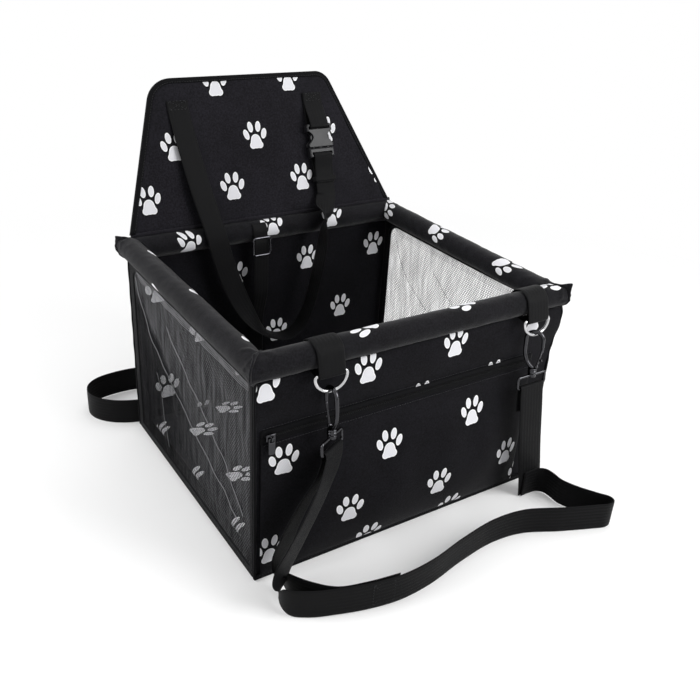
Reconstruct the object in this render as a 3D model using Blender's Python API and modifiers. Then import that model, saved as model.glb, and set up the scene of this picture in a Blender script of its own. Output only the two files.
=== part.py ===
"""Folding dog car seat: a fabric box on a hidden tube frame, with straps, clips and a back flap.

+X runs along the front panel to the right, +Y to the back, +Z up. The origin is the middle of the
underside of the box, on the seat that it stands on.
"""
import math

import bmesh
import bpy
from mathutils import Matrix, Vector

# Driving dimensions, in metres
box_width = 0.380
box_depth = 0.336
wall = 0.003
clearance = 0.0003
overrun = 0.002

rim_radius = 0.014
rim_inset = 0.004
rim_height = 0.250
elbow_radius = 0.0105
elbow_bend = 0.0110
elbow_leg = 0.030
sleeve_ease = 0.0008
tube_radius = 0.008
tube_wall = 0.0015

base_thickness = 0.003
pad_thickness = 0.014
pad_margin = 0.003
pad_round = 0.005

mesh_thickness = 0.0012
binding_rear = 0.013
binding_front = 0.007
binding_bottom = 0.012
binding_top = 0.010
binding_round = 0.022
binding_thickness = 0.0024

zip_height = 0.176
zip_left_inset = 0.006
zip_right_inset = 0.024
tape_width = 0.014
tape_thickness = 0.0008
teeth_width = 0.0036
teeth_thickness = 0.0013
slider_length = 0.010
slider_width = 0.0075
slider_thickness = 0.0022
slider_end_stop = 0.004
pull_width = 0.0042
pull_length = 0.018
pull_thickness = 0.0012
pull_pin_radius = 0.0007
ear_width = 0.0021
ear_height = 0.0042
ear_bore_radius = 0.0013
ear_wall = 0.0008
ear_gap = 0.0001
pocket_thickness = 0.0025
pocket_foot = 0.006
pocket_round = 0.010

flap_height = 0.1765
flap_inset = 0.003
flap_top_width = 0.240
flap_round = 0.022
flap_skew = -0.010
flap_thickness = 0.0040
flap_lean = math.radians(20)
flap_gap = 0.0009
flap_binding_width = 0.007
flap_binding_thickness = 0.0048

web_width = 0.035
web_thickness = 0.0014
head_web_width = 0.027
tether_web_width = 0.020

left_clip_inset = 0.074
right_clip_inset = 0.040
loop_width = 0.030
loop_drop = math.radians(42)
loop_hang = 0.0047
clip_tilt = math.radians(6)
ring_wire = 0.0018
ring_half_width = 0.0178
ring_drop = 0.019
hook_wire = 0.0021
hook_half_width = 0.0095
hook_length = 0.044
hook_nose = 0.008
hook_spine_shares = ((0.0, 0.0), (0.55, 0.55), (1.0, 1.7))
gate_pivot_share = 0.45
collar_radius = 0.0050
collar_length = 0.006
pin_radius = 0.0018
pin_length = 0.0045
pin_clearance = 0.0003
barrel_radius = 0.0045
barrel_length = 0.0042
eye_wire = 0.0016
eye_width = 0.041
eye_height = 0.0135
eye_corner = 0.0022
gate_wire = 0.0013
knuckle_radius = 0.0018
knuckle_width = 0.0040
left_hook_turn = 0.0
right_hook_turn = math.radians(-145)
left_eye_turn = math.radians(30)
right_eye_turn = 0.0
tether_clip_scale = 0.72

buckle_width = 0.037
buckle_length = 0.030
buckle_thickness = 0.0092
buckle_cavity = 0.0056
buckle_cavity_depth = 0.0205
buckle_slot = 0.0032
buckle_bar = 0.0034
buckle_corner = 0.0015
buckle_round = 0.0012
buckle_body_shares = ((1.0, 0.0), (1.0, 0.16), (0.74, 0.26), (0.74, 0.60), (0.94, 0.74), (1.0, 1.0))
male_length = 0.0125
prong_length = 0.0175
prong_reach = 0.0139
prong_width = 0.0042
prong_neck = 0.0016
prong_rise_shares = (0.28, 0.48, 0.80, 0.90)
prong_tip_share = 0.5
prong_hook = 0.001
guide_rise_shares = (0.62, 0.70)
guide_tip_share = 0.4
male_base_share = 0.98
guide_width = 0.0044
male_gap = 0.0006
head_buckle_place = 0.084
head_buckle_rise = 0.0785
head_anchor_place = 0.102
head_anchor_rise = 0.1435
strap_standoff = 0.0085

tether_place = -0.021
glide_height = 0.026
glide_rail = 0.0026
glide_bar = 0.0011
glide_drop = 0.016
tether_inset = 0.0178

# Places that follow from the driving dimensions
half_width = box_width / 2
half_depth = box_depth / 2
rim_x = half_width - rim_inset
rim_y = half_depth - rim_inset
wall_top = rim_height - rim_radius - clearance
left_clip_place = left_clip_inset - half_width
right_clip_place = half_width - right_clip_inset
zip_left = half_width - zip_left_inset
zip_right = half_width - zip_right_inset
flap_base_width = box_width - 2 * flap_inset
glide_rise = rim_height - glide_drop
tether_line = rim_y - tether_inset
front_face = -half_depth
side_half = half_depth - wall - clearance
pad_top = base_thickness + clearance + pad_thickness
hinge_height = rim_height + rim_radius + flap_gap + flap_thickness / 2
hinge_place = Vector((0.0, rim_y, hinge_height))
loop_bar_reach = rim_radius + clearance + web_thickness + ring_wire + clearance + loop_hang
eye_top_drop = ring_drop - ring_wire - hook_wire - clearance + hook_length + collar_length + clearance


def new_collection(name):
    """Make a collection and link it to the scene."""
    group = bpy.data.collections.new(name)
    bpy.context.scene.collection.children.link(group)
    return group


for old in list(bpy.data.objects):
    bpy.data.objects.remove(old)
parts = new_collection("dog_car_seat")
cutters = new_collection("cutters")


def finish(name, colour, roughness, metallic=0.0):
    """Make a Principled material with a plain colour."""
    made = bpy.data.materials.new(name)
    made.use_nodes = True
    shader = made.node_tree.nodes["Principled BSDF"]
    shader.inputs["Base Color"].default_value = (*colour, 1.0)
    shader.inputs["Roughness"].default_value = roughness
    shader.inputs["Metallic"].default_value = metallic
    return made


printed_fabric = finish("printed_fabric", (0.016, 0.015, 0.020), 0.75)
plain_fabric = finish("plain_fabric", (0.012, 0.012, 0.015), 0.85)
mesh_fabric = finish("mesh_fabric", (0.020, 0.020, 0.022), 0.7)
webbing = finish("webbing", (0.014, 0.014, 0.015), 0.7)
chrome = finish("chrome", (0.75, 0.75, 0.76), 0.15, 1.0)
dark_metal = finish("dark_metal", (0.10, 0.10, 0.11), 0.25, 1.0)
black_plastic = finish("black_plastic", (0.020, 0.020, 0.022), 0.45)
tube_plastic = finish("tube_plastic", (0.70, 0.70, 0.68), 0.5)


def put(mesh, name, material, place=Matrix.Identity(4), group=parts):
    """Make an object from a mesh, with its material and its place."""
    made = bpy.data.objects.new(name, mesh)
    made.data.materials.clear()
    made.data.materials.append(material)
    made.matrix_world = place
    group.objects.link(made)
    return made


def mesh_from(bm, name):
    """Turn a bmesh into a mesh and free it."""
    mesh = bpy.data.meshes.new(name)
    bm.to_mesh(mesh)
    bm.free()
    return mesh


def block_mesh(name, size, round_by=0.0, segments=2):
    """A box with its middle at the origin and its edges rounded."""
    bm = bmesh.new()
    bmesh.ops.create_cube(bm, size=1.0)
    bmesh.ops.scale(bm, vec=size, verts=bm.verts)
    if round_by > 0:
        bmesh.ops.bevel(bm, geom=bm.edges[:], offset=round_by, segments=segments, affect="EDGES", profile=0.5)
    return mesh_from(bm, name)


def rod_mesh(name, radius, length, axis, sides=24):
    """A cylinder about X, Y or Z with its middle at the origin."""
    bm = bmesh.new()
    bmesh.ops.create_cone(bm, cap_ends=True, segments=sides, radius1=radius, radius2=radius, depth=length)
    turn = {"X": Matrix.Rotation(math.pi / 2, 4, "Y"), "Y": Matrix.Rotation(math.pi / 2, 4, "X"),
            "Z": Matrix.Identity(4)}[axis]
    bmesh.ops.transform(bm, matrix=turn, verts=bm.verts)
    mesh = mesh_from(bm, name)
    mesh.shade_smooth()
    mesh.set_sharp_from_angle(angle=math.radians(40))
    return mesh


def curve_mesh(curve, name):
    """Turn a curve into one closed mesh, with its caps welded on."""
    guide = bpy.data.objects.new(name + "_guide", curve)
    cutters.objects.link(guide)
    bpy.context.view_layer.update()
    graph = bpy.context.evaluated_depsgraph_get()
    mesh = bpy.data.meshes.new_from_object(guide.evaluated_get(graph))
    bpy.data.objects.remove(guide)
    bm = bmesh.new()
    bm.from_mesh(mesh)
    bmesh.ops.remove_doubles(bm, verts=bm.verts, dist=0.00001)
    bm.to_mesh(mesh)
    bm.free()
    return mesh


def wire_mesh(name, points, radius, closed=False):
    """A round wire along points, as a welded mesh."""
    curve = bpy.data.curves.new(name, "CURVE")
    curve.dimensions = "3D"
    curve.bevel_depth = radius
    curve.bevel_resolution = 2
    curve.use_fill_caps = not closed
    spline = curve.splines.new("POLY")
    spline.points.add(len(points) - 1)
    for point, place in zip(spline.points, points):
        point.co = (*place, 1.0)
    spline.use_cyclic_u = closed
    mesh = curve_mesh(curve, name)
    mesh.shade_smooth()
    return mesh


def plate_mesh(name, outlines, thickness):
    """A flat outline in XY, with any further outlines as holes, thick along Z about the origin."""
    curve = bpy.data.curves.new(name, "CURVE")
    curve.dimensions = "2D"
    curve.fill_mode = "BOTH"
    curve.extrude = thickness / 2
    for outline in outlines:
        spline = curve.splines.new("POLY")
        spline.points.add(len(outline) - 1)
        for point, place in zip(spline.points, outline):
            point.co = (place[0], place[1], 0.0, 1.0)
        spline.use_cyclic_u = True
    return curve_mesh(curve, name)


def round_edges(made, width, segments=2):
    """Round the sharp edges of an object."""
    bevel = made.modifiers.new("round", "BEVEL")
    bevel.width = width
    bevel.segments = segments
    bevel.limit_method = "ANGLE"
    bevel.angle_limit = math.radians(50)


def boolean(made, mesh, operation, place=Matrix.Identity(4)):
    """Cut or join a mesh, which is placed in the object's own frame."""
    tool = put(mesh, made.name + "_tool", made.data.materials[0], made.matrix_world @ place, cutters)
    tool.hide_render = True
    tool.display_type = "WIRE"
    change = made.modifiers.new(operation.lower(), "BOOLEAN")
    change.operation = operation
    change.solver = "EXACT"
    change.object = tool
    return tool


def shift(x=0.0, y=0.0, z=0.0):
    """A move along the axes."""
    return Matrix.Translation((x, y, z))


def arc(centre, radius, start, end, steps):
    """Points on an arc in the plane of the two coordinates given."""
    turns = [start + (end - start) * index / steps for index in range(steps + 1)]
    return [(centre[0] + radius * math.cos(turn), centre[1] + radius * math.sin(turn)) for turn in turns]


def rounded_outline(corners, steps=5):
    """An outline whose corners are rounded: each corner is x, y and its radius, anticlockwise."""
    outline = []
    for index, (x, y, radius) in enumerate(corners):
        corner = Vector((x, y))
        before = Vector(corners[index - 1][:2]) - corner
        after = Vector(corners[(index + 1) % len(corners)][:2]) - corner
        if radius <= 0:
            outline.append((x, y))
            continue
        half_angle = before.angle(after) / 2
        inward = (before.normalized() + after.normalized()).normalized()
        middle = corner + inward * radius / math.sin(half_angle)
        first = corner + before.normalized() * radius / math.tan(half_angle) - middle
        last = corner + after.normalized() * radius / math.tan(half_angle) - middle
        start = math.atan2(first.y, first.x)
        sweep = (math.atan2(last.y, last.x) - start + math.pi) % (2 * math.pi) - math.pi
        outline += arc(middle, radius, start, start + sweep, steps)
    return outline


def smooth_rows(rows, steps):
    """Points of a smooth curve through rows: centripetal Catmull-Rom, spaced by the first three columns."""
    table = [Vector(row) for row in rows]
    table = [2 * table[0] - table[1]] + table + [2 * table[-1] - table[-2]]
    found = []
    for index in range(1, len(table) - 2):
        before, here, after, later = table[index - 1:index + 3]
        gaps = [math.sqrt(max((b - a).to_3d().length, clearance / steps))
                for a, b in ((before, here), (here, after), (after, later))]
        leave = (here - before) / gaps[0] - (after - before) / (gaps[0] + gaps[1]) + (after - here) / gaps[1]
        reach = (after - here) / gaps[1] - (later - here) / (gaps[1] + gaps[2]) + (later - after) / gaps[2]
        leave = leave * gaps[1]
        reach = reach * gaps[1]
        for step in range(steps):
            t = step / steps
            found.append((2 * t ** 3 - 3 * t ** 2 + 1) * here + (t ** 3 - 2 * t ** 2 + t) * leave
                         + (3 * t ** 2 - 2 * t ** 3) * after + (t ** 3 - t ** 2) * reach)
    found.append(table[-2])
    return found


def strap(name, rows, width, material=webbing, steps=3):
    """A flat strap: each row is a point on its middle line and the direction across it."""
    stations = smooth_rows([(*place, *across) for place, across in rows], steps)
    bm = bmesh.new()
    edges = []
    for index, station in enumerate(stations):
        place = Vector(station[:3])
        later, earlier = stations[min(index + 1, len(stations) - 1)], stations[max(index - 1, 0)]
        ahead = Vector(later[:3]) - Vector(earlier[:3])
        across = Vector(station[3:])
        across = (across - across.project(ahead)).normalized() * width / 2
        edges.append([bm.verts.new(place - across), bm.verts.new(place + across)])
    for (left, right), (next_left, next_right) in zip(edges, edges[1:]):
        bm.faces.new((left, right, next_right, next_left))
    made = put(mesh_from(bm, name), name, material)
    shell = made.modifiers.new("thickness", "SOLIDIFY")
    shell.thickness = web_thickness
    shell.offset = 0.0
    return made


# Box: base, pad, walls, side meshes and their bindings

def make_box():
    """The floor board, the pad, and the front and back walls."""
    inner_x = half_width - wall - clearance
    inner_y = half_depth - wall - clearance
    put(block_mesh("base_board", (2 * inner_x, 2 * inner_y, base_thickness)), "base_board", plain_fabric,
        shift(z=base_thickness / 2))
    pad_x = inner_x - pad_margin
    pad_y = inner_y - pad_margin
    put(block_mesh("floor_pad", (2 * pad_x, 2 * pad_y, pad_thickness), pad_round, 3), "floor_pad",
        printed_fabric, shift(z=base_thickness + clearance + pad_thickness / 2))
    for name, side, slits in (("front_wall", -1, (left_clip_place, right_clip_place)), ("back_wall", 1, ())):
        panel = put(block_mesh(name, (box_width, wall, wall_top)), name, printed_fabric,
                    shift(y=side * (half_depth - wall / 2), z=wall_top / 2))
        for place in slits:
            slit_size = (loop_width + 2 * clearance, wall + overrun, 2 * (web_thickness + 2 * clearance))
            boolean(panel, block_mesh("loop_slit", slit_size), "DIFFERENCE", shift(x=place, z=wall_top / 2))


def side_outline(grow):
    """The mesh window's outline in depth and height, grown or shrunk all round."""
    rear = side_half - binding_rear + grow
    front = -side_half + binding_front - grow
    low = binding_bottom - grow
    high = wall_top - binding_top + grow
    corner = binding_round + grow
    return rounded_outline([(front, low, 0), (rear, low, 0), (rear, high, corner), (front, high, 0)])


def make_side(name, side):
    """A see-through side: a mesh panel in a bound frame."""
    frame_outline = [(-side_half, 0), (side_half, 0), (side_half, wall_top), (-side_half, wall_top)]
    stand = Matrix(((0, 0, 1, 0), (1, 0, 0, 0), (0, 1, 0, 0), (0, 0, 0, 1)))
    place = shift(x=side * (half_width - binding_thickness / 2)) @ stand
    put(plate_mesh(name + "_binding", [frame_outline, side_outline(0)], binding_thickness), name + "_binding",
        plain_fabric, place)
    net = plate_mesh(name + "_mesh", [side_outline(-clearance)], mesh_thickness)
    put(net, name + "_mesh", mesh_fabric, place)


# Rim: four padded sleeves, mitred at the corners, on a tube frame with elbows

def mitred_sleeve(name, half_length, place):
    """A hollow sleeve along X whose two ends are cut at 45 degrees, longer at the outer side (-Y)."""
    bm = bmesh.new()
    bmesh.ops.create_cone(bm, cap_ends=False, segments=24, radius1=rim_radius, radius2=rim_radius,
                          depth=2 * (half_length + rim_radius + overrun))
    bore = elbow_radius + sleeve_ease
    bmesh.ops.create_cone(bm, cap_ends=False, segments=24, radius1=bore, radius2=bore,
                          depth=2 * (half_length + rim_radius + overrun))
    bmesh.ops.transform(bm, matrix=Matrix.Rotation(math.pi / 2, 4, "Y"), verts=bm.verts)
    inner = [face for face in bm.faces if face.calc_center_median().yz.length < (rim_radius + bore) / 2]
    bmesh.ops.reverse_faces(bm, faces=inner)
    for side in (-1, 1):
        bmesh.ops.bisect_plane(bm, geom=bm.verts[:] + bm.edges[:] + bm.faces[:],
                               plane_co=(side * (half_length - clearance / math.sqrt(2)), 0, 0),
                               plane_no=(side, 1, 0), clear_outer=True)
        rims = [edge for edge in bm.edges if edge.is_boundary
                and abs(edge.verts[0].co.x - side * half_length) <= rim_radius + overrun]
        bmesh.ops.bridge_loops(bm, edges=rims)
    mesh = mesh_from(bm, name)
    mesh.shade_smooth()
    mesh.set_sharp_from_angle(angle=math.radians(40))
    put(mesh, name, printed_fabric, place)


def make_rim():
    """Sleeves, tubes and elbows round the top of the box."""
    runs = (("front", rim_x, rim_y, 0), ("right", rim_y, rim_x, 1), ("back", rim_x, rim_y, 2),
            ("left", rim_y, rim_x, 3))
    for name, half_length, reach, quarter in runs:
        turn = shift(z=rim_height) @ Matrix.Rotation(quarter * math.pi / 2, 4, "Z") @ shift(y=-reach)
        mitred_sleeve("rim_sleeve_" + name, half_length, turn)
        tube = put(rod_mesh("rim_tube_" + name, tube_radius, 2 * (half_length - elbow_bend - clearance), "X", 16),
                   "rim_tube_" + name, tube_plastic, turn)
        boolean(tube, rod_mesh("tube_bore", tube_radius - tube_wall, 2 * half_length, "X", 16), "DIFFERENCE")
        bend = arc((-elbow_bend, elbow_bend), elbow_bend, -math.pi / 2, 0, 6)
        path = [Vector((-elbow_leg, 0, 0))] + [Vector((x, y, 0)) for x, y in bend]
        path += [Vector((0, elbow_leg, 0))]
        elbow = put(wire_mesh("elbow", path, elbow_radius), "rim_elbow_" + name, tube_plastic,
                    turn @ shift(x=half_length))
        middle = elbow_bend + elbow_leg / 2
        for axis, move in (("X", shift(x=-middle)), ("Y", shift(y=middle))):
            bore = rod_mesh("elbow_bore", tube_radius + clearance, elbow_leg, axis, 16)
            boolean(elbow, bore, "DIFFERENCE", move)


# Front pocket and zip

def make_pocket():
    """The flat pocket below the zip, the zip's tape, its teeth, its slider and its pull."""
    top = zip_height - tape_width / 2 - clearance
    corners = [(-zip_left, pocket_foot, 0), (zip_right, pocket_foot, pocket_round), (zip_right, top, 0),
               (-zip_left, top, 0)]
    stand = Matrix.Rotation(math.pi / 2, 4, "X")
    pocket_place = shift(y=front_face - clearance - pocket_thickness / 2) @ stand
    put(plate_mesh("front_pocket", [rounded_outline(corners)], pocket_thickness), "front_pocket", printed_fabric,
        pocket_place)
    run = zip_left + zip_right
    middle = (zip_right - zip_left) / 2
    tape_y = front_face - clearance - tape_thickness / 2
    put(block_mesh("zip_tape", (run, tape_thickness, tape_width)), "zip_tape", plain_fabric,
        shift(middle, tape_y, zip_height))
    teeth_y = tape_y - tape_thickness / 2 - clearance - teeth_thickness / 2
    put(block_mesh("zip_teeth", (run - 2 * slider_end_stop, teeth_thickness, teeth_width)), "zip_teeth",
        black_plastic, shift(middle, teeth_y, zip_height))
    slider_y = teeth_y - teeth_thickness / 2 - clearance - slider_thickness / 2
    slider_x = -zip_left + slider_end_stop + slider_length / 2
    slider = put(block_mesh("zip_slider", (slider_length, slider_thickness, slider_width), slider_thickness / 4),
                 "zip_slider", dark_metal, shift(slider_x, slider_y, zip_height))
    pin_reach = slider_thickness / 2 + ear_gap + ear_bore_radius
    ear_reach = pin_reach + ear_bore_radius + ear_wall
    ear = block_mesh("slider_ear", (ear_width, ear_reach, ear_height))
    boolean(slider, ear, "UNION", shift(y=-ear_reach / 2))
    bore = rod_mesh("ear_bore", ear_bore_radius, pull_width, "X", 16)
    boolean(slider, bore, "DIFFERENCE", shift(y=-pin_reach))
    ring = pull_width / 2 + clearance + pull_thickness
    pull_outline = rounded_outline([(-ring, -pull_length, ring / 2), (ring, -pull_length, ring / 2),
                                    (ring, pull_pin_radius, 0), (-ring, pull_pin_radius, 0)])
    window = [(-ring + pull_thickness, -pull_width), (ring - pull_thickness, -pull_width),
              (ring - pull_thickness, -pull_pin_radius), (-ring + pull_thickness, -pull_pin_radius)]
    pull = plate_mesh("zip_pull", [pull_outline, window], 2 * pull_pin_radius)
    put(pull, "zip_pull", dark_metal, shift(slider_x, slider_y - pin_reach, zip_height) @ stand)


# Flap: a stiff panel hinged on the back rim, with a bound edge

def flap_place(x=0.0, rise=0.0, out=0.0):
    """A place on the leaning flap: across, up the flap, and out of its front face."""
    return shift(*hinge_place) @ Matrix.Rotation(-flap_lean, 4, "X") @ shift(x, -out, rise)


def flap_outline(inset):
    """The flap's sides and top, inset all round, from the lower left to the lower right."""
    side_run = (flap_base_width - flap_top_width) / 2
    slope = math.atan2(side_run, flap_height)
    base = flap_base_width / 2 - inset / math.cos(slope)
    top = flap_top_width / 2 - inset / math.cos(slope) + inset * math.tan(slope)
    high = flap_height - inset
    low = -flap_thickness / 2
    corner = flap_round - inset
    return base, top, high, low, corner


def skewed(outline):
    """An outline on the flap, moved sideways in proportion to its rise: the flap leans a little to the left."""
    return [(x + flap_skew * rise / flap_height, rise) for x, rise in outline]


def make_flap():
    """The flap's panel and its binding."""
    stand = Matrix.Rotation(math.pi / 2, 4, "X")
    base, top, high, low, corner = flap_outline(flap_binding_width)
    inner = skewed(rounded_outline([(-base, low, 0), (base, low, 0), (top, high, corner), (-top, high, corner)]))
    panel = put(plate_mesh("flap_panel", [inner], flap_thickness), "flap_panel", printed_fabric,
                flap_place() @ stand)
    round_edges(panel, flap_thickness / 2 - clearance)
    outer_base, outer_top, outer_high, _, outer_corner = flap_outline(0)
    gap_base, gap_top, gap_high, _, gap_corner = flap_outline(flap_binding_width - clearance)
    foot = flap_binding_thickness
    ring = skewed(rounded_outline([(outer_base, foot, 0), (outer_top, outer_high, outer_corner),
                                   (-outer_top, outer_high, outer_corner), (-outer_base, foot, 0),
                                   (-gap_base, foot, 0), (-gap_top, gap_high, gap_corner),
                                   (gap_top, gap_high, gap_corner), (gap_base, foot, 0)]))
    put(plate_mesh("flap_binding", [ring], flap_binding_thickness), "flap_binding", plain_fabric,
        flap_place() @ stand)


# Clips: webbing loop on the rim, chrome ring, swivel hook with a sprung gate, and the strap eye

def clip_frame(place):
    """The frame of a clip: X along the ring's bar, -Z down the clip, from the bar's middle."""
    bar_y = -rim_y - loop_bar_reach * math.cos(loop_drop)
    bar_z = rim_height - loop_bar_reach * math.sin(loop_drop)
    return shift(place, bar_y, bar_z) @ Matrix.Rotation(-clip_tilt, 4, "X")


def make_ring(side, place):
    """The webbing loop round the front rim, and the D-shaped ring in it."""
    name = "ring_loop_" + side
    outer = rod_mesh(name, rim_radius + clearance + web_thickness, loop_width, "X", 32)
    loop = put(outer, name, webbing, shift(place, -rim_y, rim_height))
    bar = (-loop_bar_reach * math.cos(loop_drop), -loop_bar_reach * math.sin(loop_drop))
    boolean(loop, rod_mesh("bar_wrap", ring_wire + clearance + web_thickness, loop_width, "X", 16), "UNION",
            shift(0, *bar))
    plies = block_mesh("sewn_plies", (loop_width, loop_bar_reach, 2 * web_thickness))
    seam = shift(0, *bar) @ Matrix.Rotation(loop_drop, 4, "X") @ shift(y=loop_bar_reach / 2)
    boolean(loop, plies, "UNION", seam)
    boolean(loop, rod_mesh("rim_bore", rim_radius + clearance, loop_width + overrun, "X", 32), "DIFFERENCE")
    boolean(loop, rod_mesh("bar_bore", ring_wire + clearance, loop_width + overrun, "X", 16), "DIFFERENCE",
            shift(0, *bar))
    straight = ring_drop - ring_half_width
    bend = arc((0, -straight), ring_half_width, 0, -math.pi, 16)
    outline = [(ring_half_width, 0)] + bend + [(-ring_half_width, 0)]
    points = [Vector((x, 0, z)) for x, z in outline]
    ring = wire_mesh("d_ring_" + side, points, ring_wire, closed=True)
    put(ring, "d_ring_" + side, chrome, clip_frame(place))


def hook_path(scale):
    """The middle line of the hook's wire, from its collar up the spine and over to its nose."""
    top = -(ring_drop - ring_wire - hook_wire - clearance)
    base = top - hook_length
    half = hook_half_width
    foot = [(-half * across, base + half * up, 0) for across, up in hook_spine_shares]
    spine = smooth_rows(foot + [(-half, top - half, 0)], 3)
    bend = [Vector((x, y, 0)) for x, y in arc((0, top - half), half, math.pi, 0, 10)]
    tip = [Vector((half, top - half - hook_nose, 0))]
    return [point * scale for point in spine[:-1] + bend + tip], base * scale, (top - half - hook_nose) * scale


def make_hook(name, frame, hook_turn, eye_turn, scale):
    """A swivel hook: wire hook with collar and pin, its gate, and the strap eye below it."""
    stand = Matrix.Rotation(math.pi / 2, 4, "X")
    turned = frame @ Matrix.Rotation(math.pi / 2 + hook_turn, 4, "Z")
    path, base, nose = hook_path(scale)
    hook = put(wire_mesh(name + "_hook", [stand @ point for point in path], hook_wire * scale), name + "_hook",
               dark_metal, turned)
    collar_middle = base - collar_length * scale / 2
    boolean(hook, rod_mesh("collar", collar_radius * scale, collar_length * scale, "Z", 16), "UNION",
            shift(z=collar_middle))
    pin = rod_mesh("pin", pin_radius * scale, pin_length * scale + overrun * scale, "Z", 12)
    pin_middle = base - (collar_length + pin_length / 2 - overrun / 2) * scale
    boolean(hook, pin, "UNION", shift(z=pin_middle))
    pivot = Vector((hook_half_width * gate_pivot_share * scale, 0, base + (knuckle_radius + clearance) * scale))
    tip = Vector((hook_half_width * scale, 0, nose - (clearance + gate_wire) * scale))
    gate = put(wire_mesh(name + "_gate", [Vector((0, 0, 0)), tip - pivot], gate_wire * scale), name + "_gate",
               dark_metal, turned @ Matrix.Translation(pivot))
    boolean(gate, rod_mesh("knuckle", knuckle_radius * scale, knuckle_width * scale, "Y", 12), "UNION")
    eye_frame = frame @ Matrix.Rotation(eye_turn, 4, "Z")
    eye_top = base - (collar_length + clearance + barrel_length / 2) * scale
    half = eye_width / 2 * scale
    drop = eye_height * scale
    corner = eye_corner * scale
    corners = [(-half, -drop, corner), (half, -drop, corner), (half, 0, corner), (-half, 0, corner)]
    outline = rounded_outline(corners, 4)
    points = [Vector((x, 0, z)) for x, z in outline]
    eye = put(wire_mesh(name + "_eye", points, eye_wire * scale, closed=True), name + "_eye", dark_metal,
              eye_frame @ shift(z=eye_top))
    boolean(eye, rod_mesh("barrel", barrel_radius * scale, barrel_length * scale, "Z", 16), "UNION")
    bore_radius = (pin_radius + pin_clearance) * scale
    boolean(eye, rod_mesh("barrel_bore", bore_radius, barrel_length * 2 * scale, "Z", 12),
            "DIFFERENCE")
    return eye_frame @ shift(z=eye_top - drop)


# Buckles: a side-release buckle, female and male halves

def make_buckle(name, frame, scale):
    """The two halves of a buckle: X across, Z along the strap, the mouth of the female half at the origin."""
    stand = Matrix.Rotation(math.pi / 2, 4, "X")
    half = buckle_width / 2 * scale
    long = buckle_length * scale
    right = [(half * x, long * z, buckle_corner * scale) for x, z in buckle_body_shares]
    left = [(-x, z, r) for x, z, r in reversed(right)]
    body = put(plate_mesh(name + "_female", [rounded_outline(right + left, 2)], buckle_thickness * scale),
               name + "_female", black_plastic, frame @ stand)
    round_edges(body, buckle_round * scale, 1)
    cavity_width = 2 * (prong_reach + clearance) * scale
    cavity = block_mesh("cavity", (cavity_width, buckle_cavity_depth * scale * 2, buckle_cavity * scale))
    boolean(body, cavity, "DIFFERENCE")
    slot_width = (buckle_width - 2 * buckle_bar) * scale
    slot_place = long - (buckle_bar + buckle_slot / 2) * scale
    slot = block_mesh("slot", (slot_width, buckle_slot * scale, buckle_thickness * scale * 2))
    boolean(body, slot, "DIFFERENCE", shift(y=slot_place))
    reach = prong_reach * scale
    inner = reach - prong_width * scale
    neck = reach - prong_neck * scale
    tip = prong_length * scale
    guide = guide_width / 2 * scale
    foot = -male_gap * scale
    neck_end, wide_start, wide_end, hook_foot = (tip * share for share in prong_rise_shares)
    shoulder, guide_top = (tip * share for share in guide_rise_shares)
    guide_side = [(guide, foot), (guide, shoulder), (guide * guide_tip_share, guide_top)]
    guide_sides = guide_side + [(-x, z) for x, z in reversed(guide_side)]
    right_arm = [(neck, foot), (neck, neck_end), (reach, wide_start), (reach, wide_end),
                 (reach - prong_width * scale * prong_tip_share, tip), (inner - prong_hook * scale, hook_foot),
                 (inner, foot)]
    left_arm = [(-x, z) for x, z in reversed(right_arm)]
    base_half = half * male_base_share
    base_low = foot - male_length * scale
    outline = [(-base_half, base_low), (base_half, base_low), (base_half, foot)] + right_arm + guide_sides
    outline += left_arm + [(-base_half, foot)]
    male = put(plate_mesh(name + "_male", [outline], (buckle_cavity - 2 * clearance) * scale), name + "_male",
               black_plastic, frame @ stand)
    base = block_mesh("male_base", (2 * base_half, (male_length - male_gap) * scale, buckle_thickness * scale),
                      buckle_round * scale, 1)
    boolean(male, base, "UNION", shift(y=foot - (male_length + male_gap) * scale / 2))
    slot_low = foot - male_length * scale + (buckle_bar + buckle_slot / 2) * scale
    boolean(male, slot, "DIFFERENCE", shift(y=slot_low))
    return slot_low, slot_place


make_box()
make_side("left", -1)
make_side("right", 1)
make_rim()
make_pocket()
make_flap()
make_ring("left", left_clip_place)
make_ring("right", right_clip_place)
left_eye_bar = make_hook("left", clip_frame(left_clip_place), left_hook_turn, left_eye_turn, 1.0)
right_eye_bar = make_hook("right", clip_frame(right_clip_place), right_hook_turn, right_eye_turn, 1.0)

# Straps: each route is a list of places on the middle line and the direction across the strap there

sideways = (1, 0, 0)
downward = (0, 0, -1)
strap_height = web_width / 2 + clearance
bar_lead_shares = (3.0, 1.6, 0.7)


def placed(frame, rows):
    """Rows of a strap given in a frame, as rows in the world."""
    return [(frame @ Vector(place), frame.to_3x3() @ Vector(across)) for place, across in rows]


def bar_turn(frame, wire):
    """Rows of a strap that hangs from a bar at a frame's origin: up behind it, over it and down in front."""
    reach = wire + clearance + web_thickness / 2
    turn = arc((0, 0), reach, 0, math.pi, 6)
    leads = [reach * share for share in bar_lead_shares]
    rows = [(reach, -lead) for lead in leads] + turn + [(-reach, -lead) for lead in reversed(leads)]
    return placed(frame, [((0, y, z), sideways) for y, z in rows])


def buckle_turn(frame, slot, away, scale):
    """Rows of a strap that goes through a buckle's slot, from behind it to in front."""
    half = buckle_thickness / 2 * scale
    out = half + clearance + web_thickness / 2 + clearance / 3
    rows = [(out, slot + away * (buckle_slot / 2 * scale + web_thickness)),
            (out - clearance / 3, slot + away * buckle_slot / 4), (half - clearance, slot)]
    rows = rows + [(0, slot)] + [(-y, z) for y, z in reversed(rows)]
    return placed(frame, [((0, y, z), (1, 0, 0)) for y, z in rows])


def mix(first, last, share):
    """A direction between two directions."""
    return tuple(a + (b - a) * share for a, b in zip(first, last))


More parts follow.
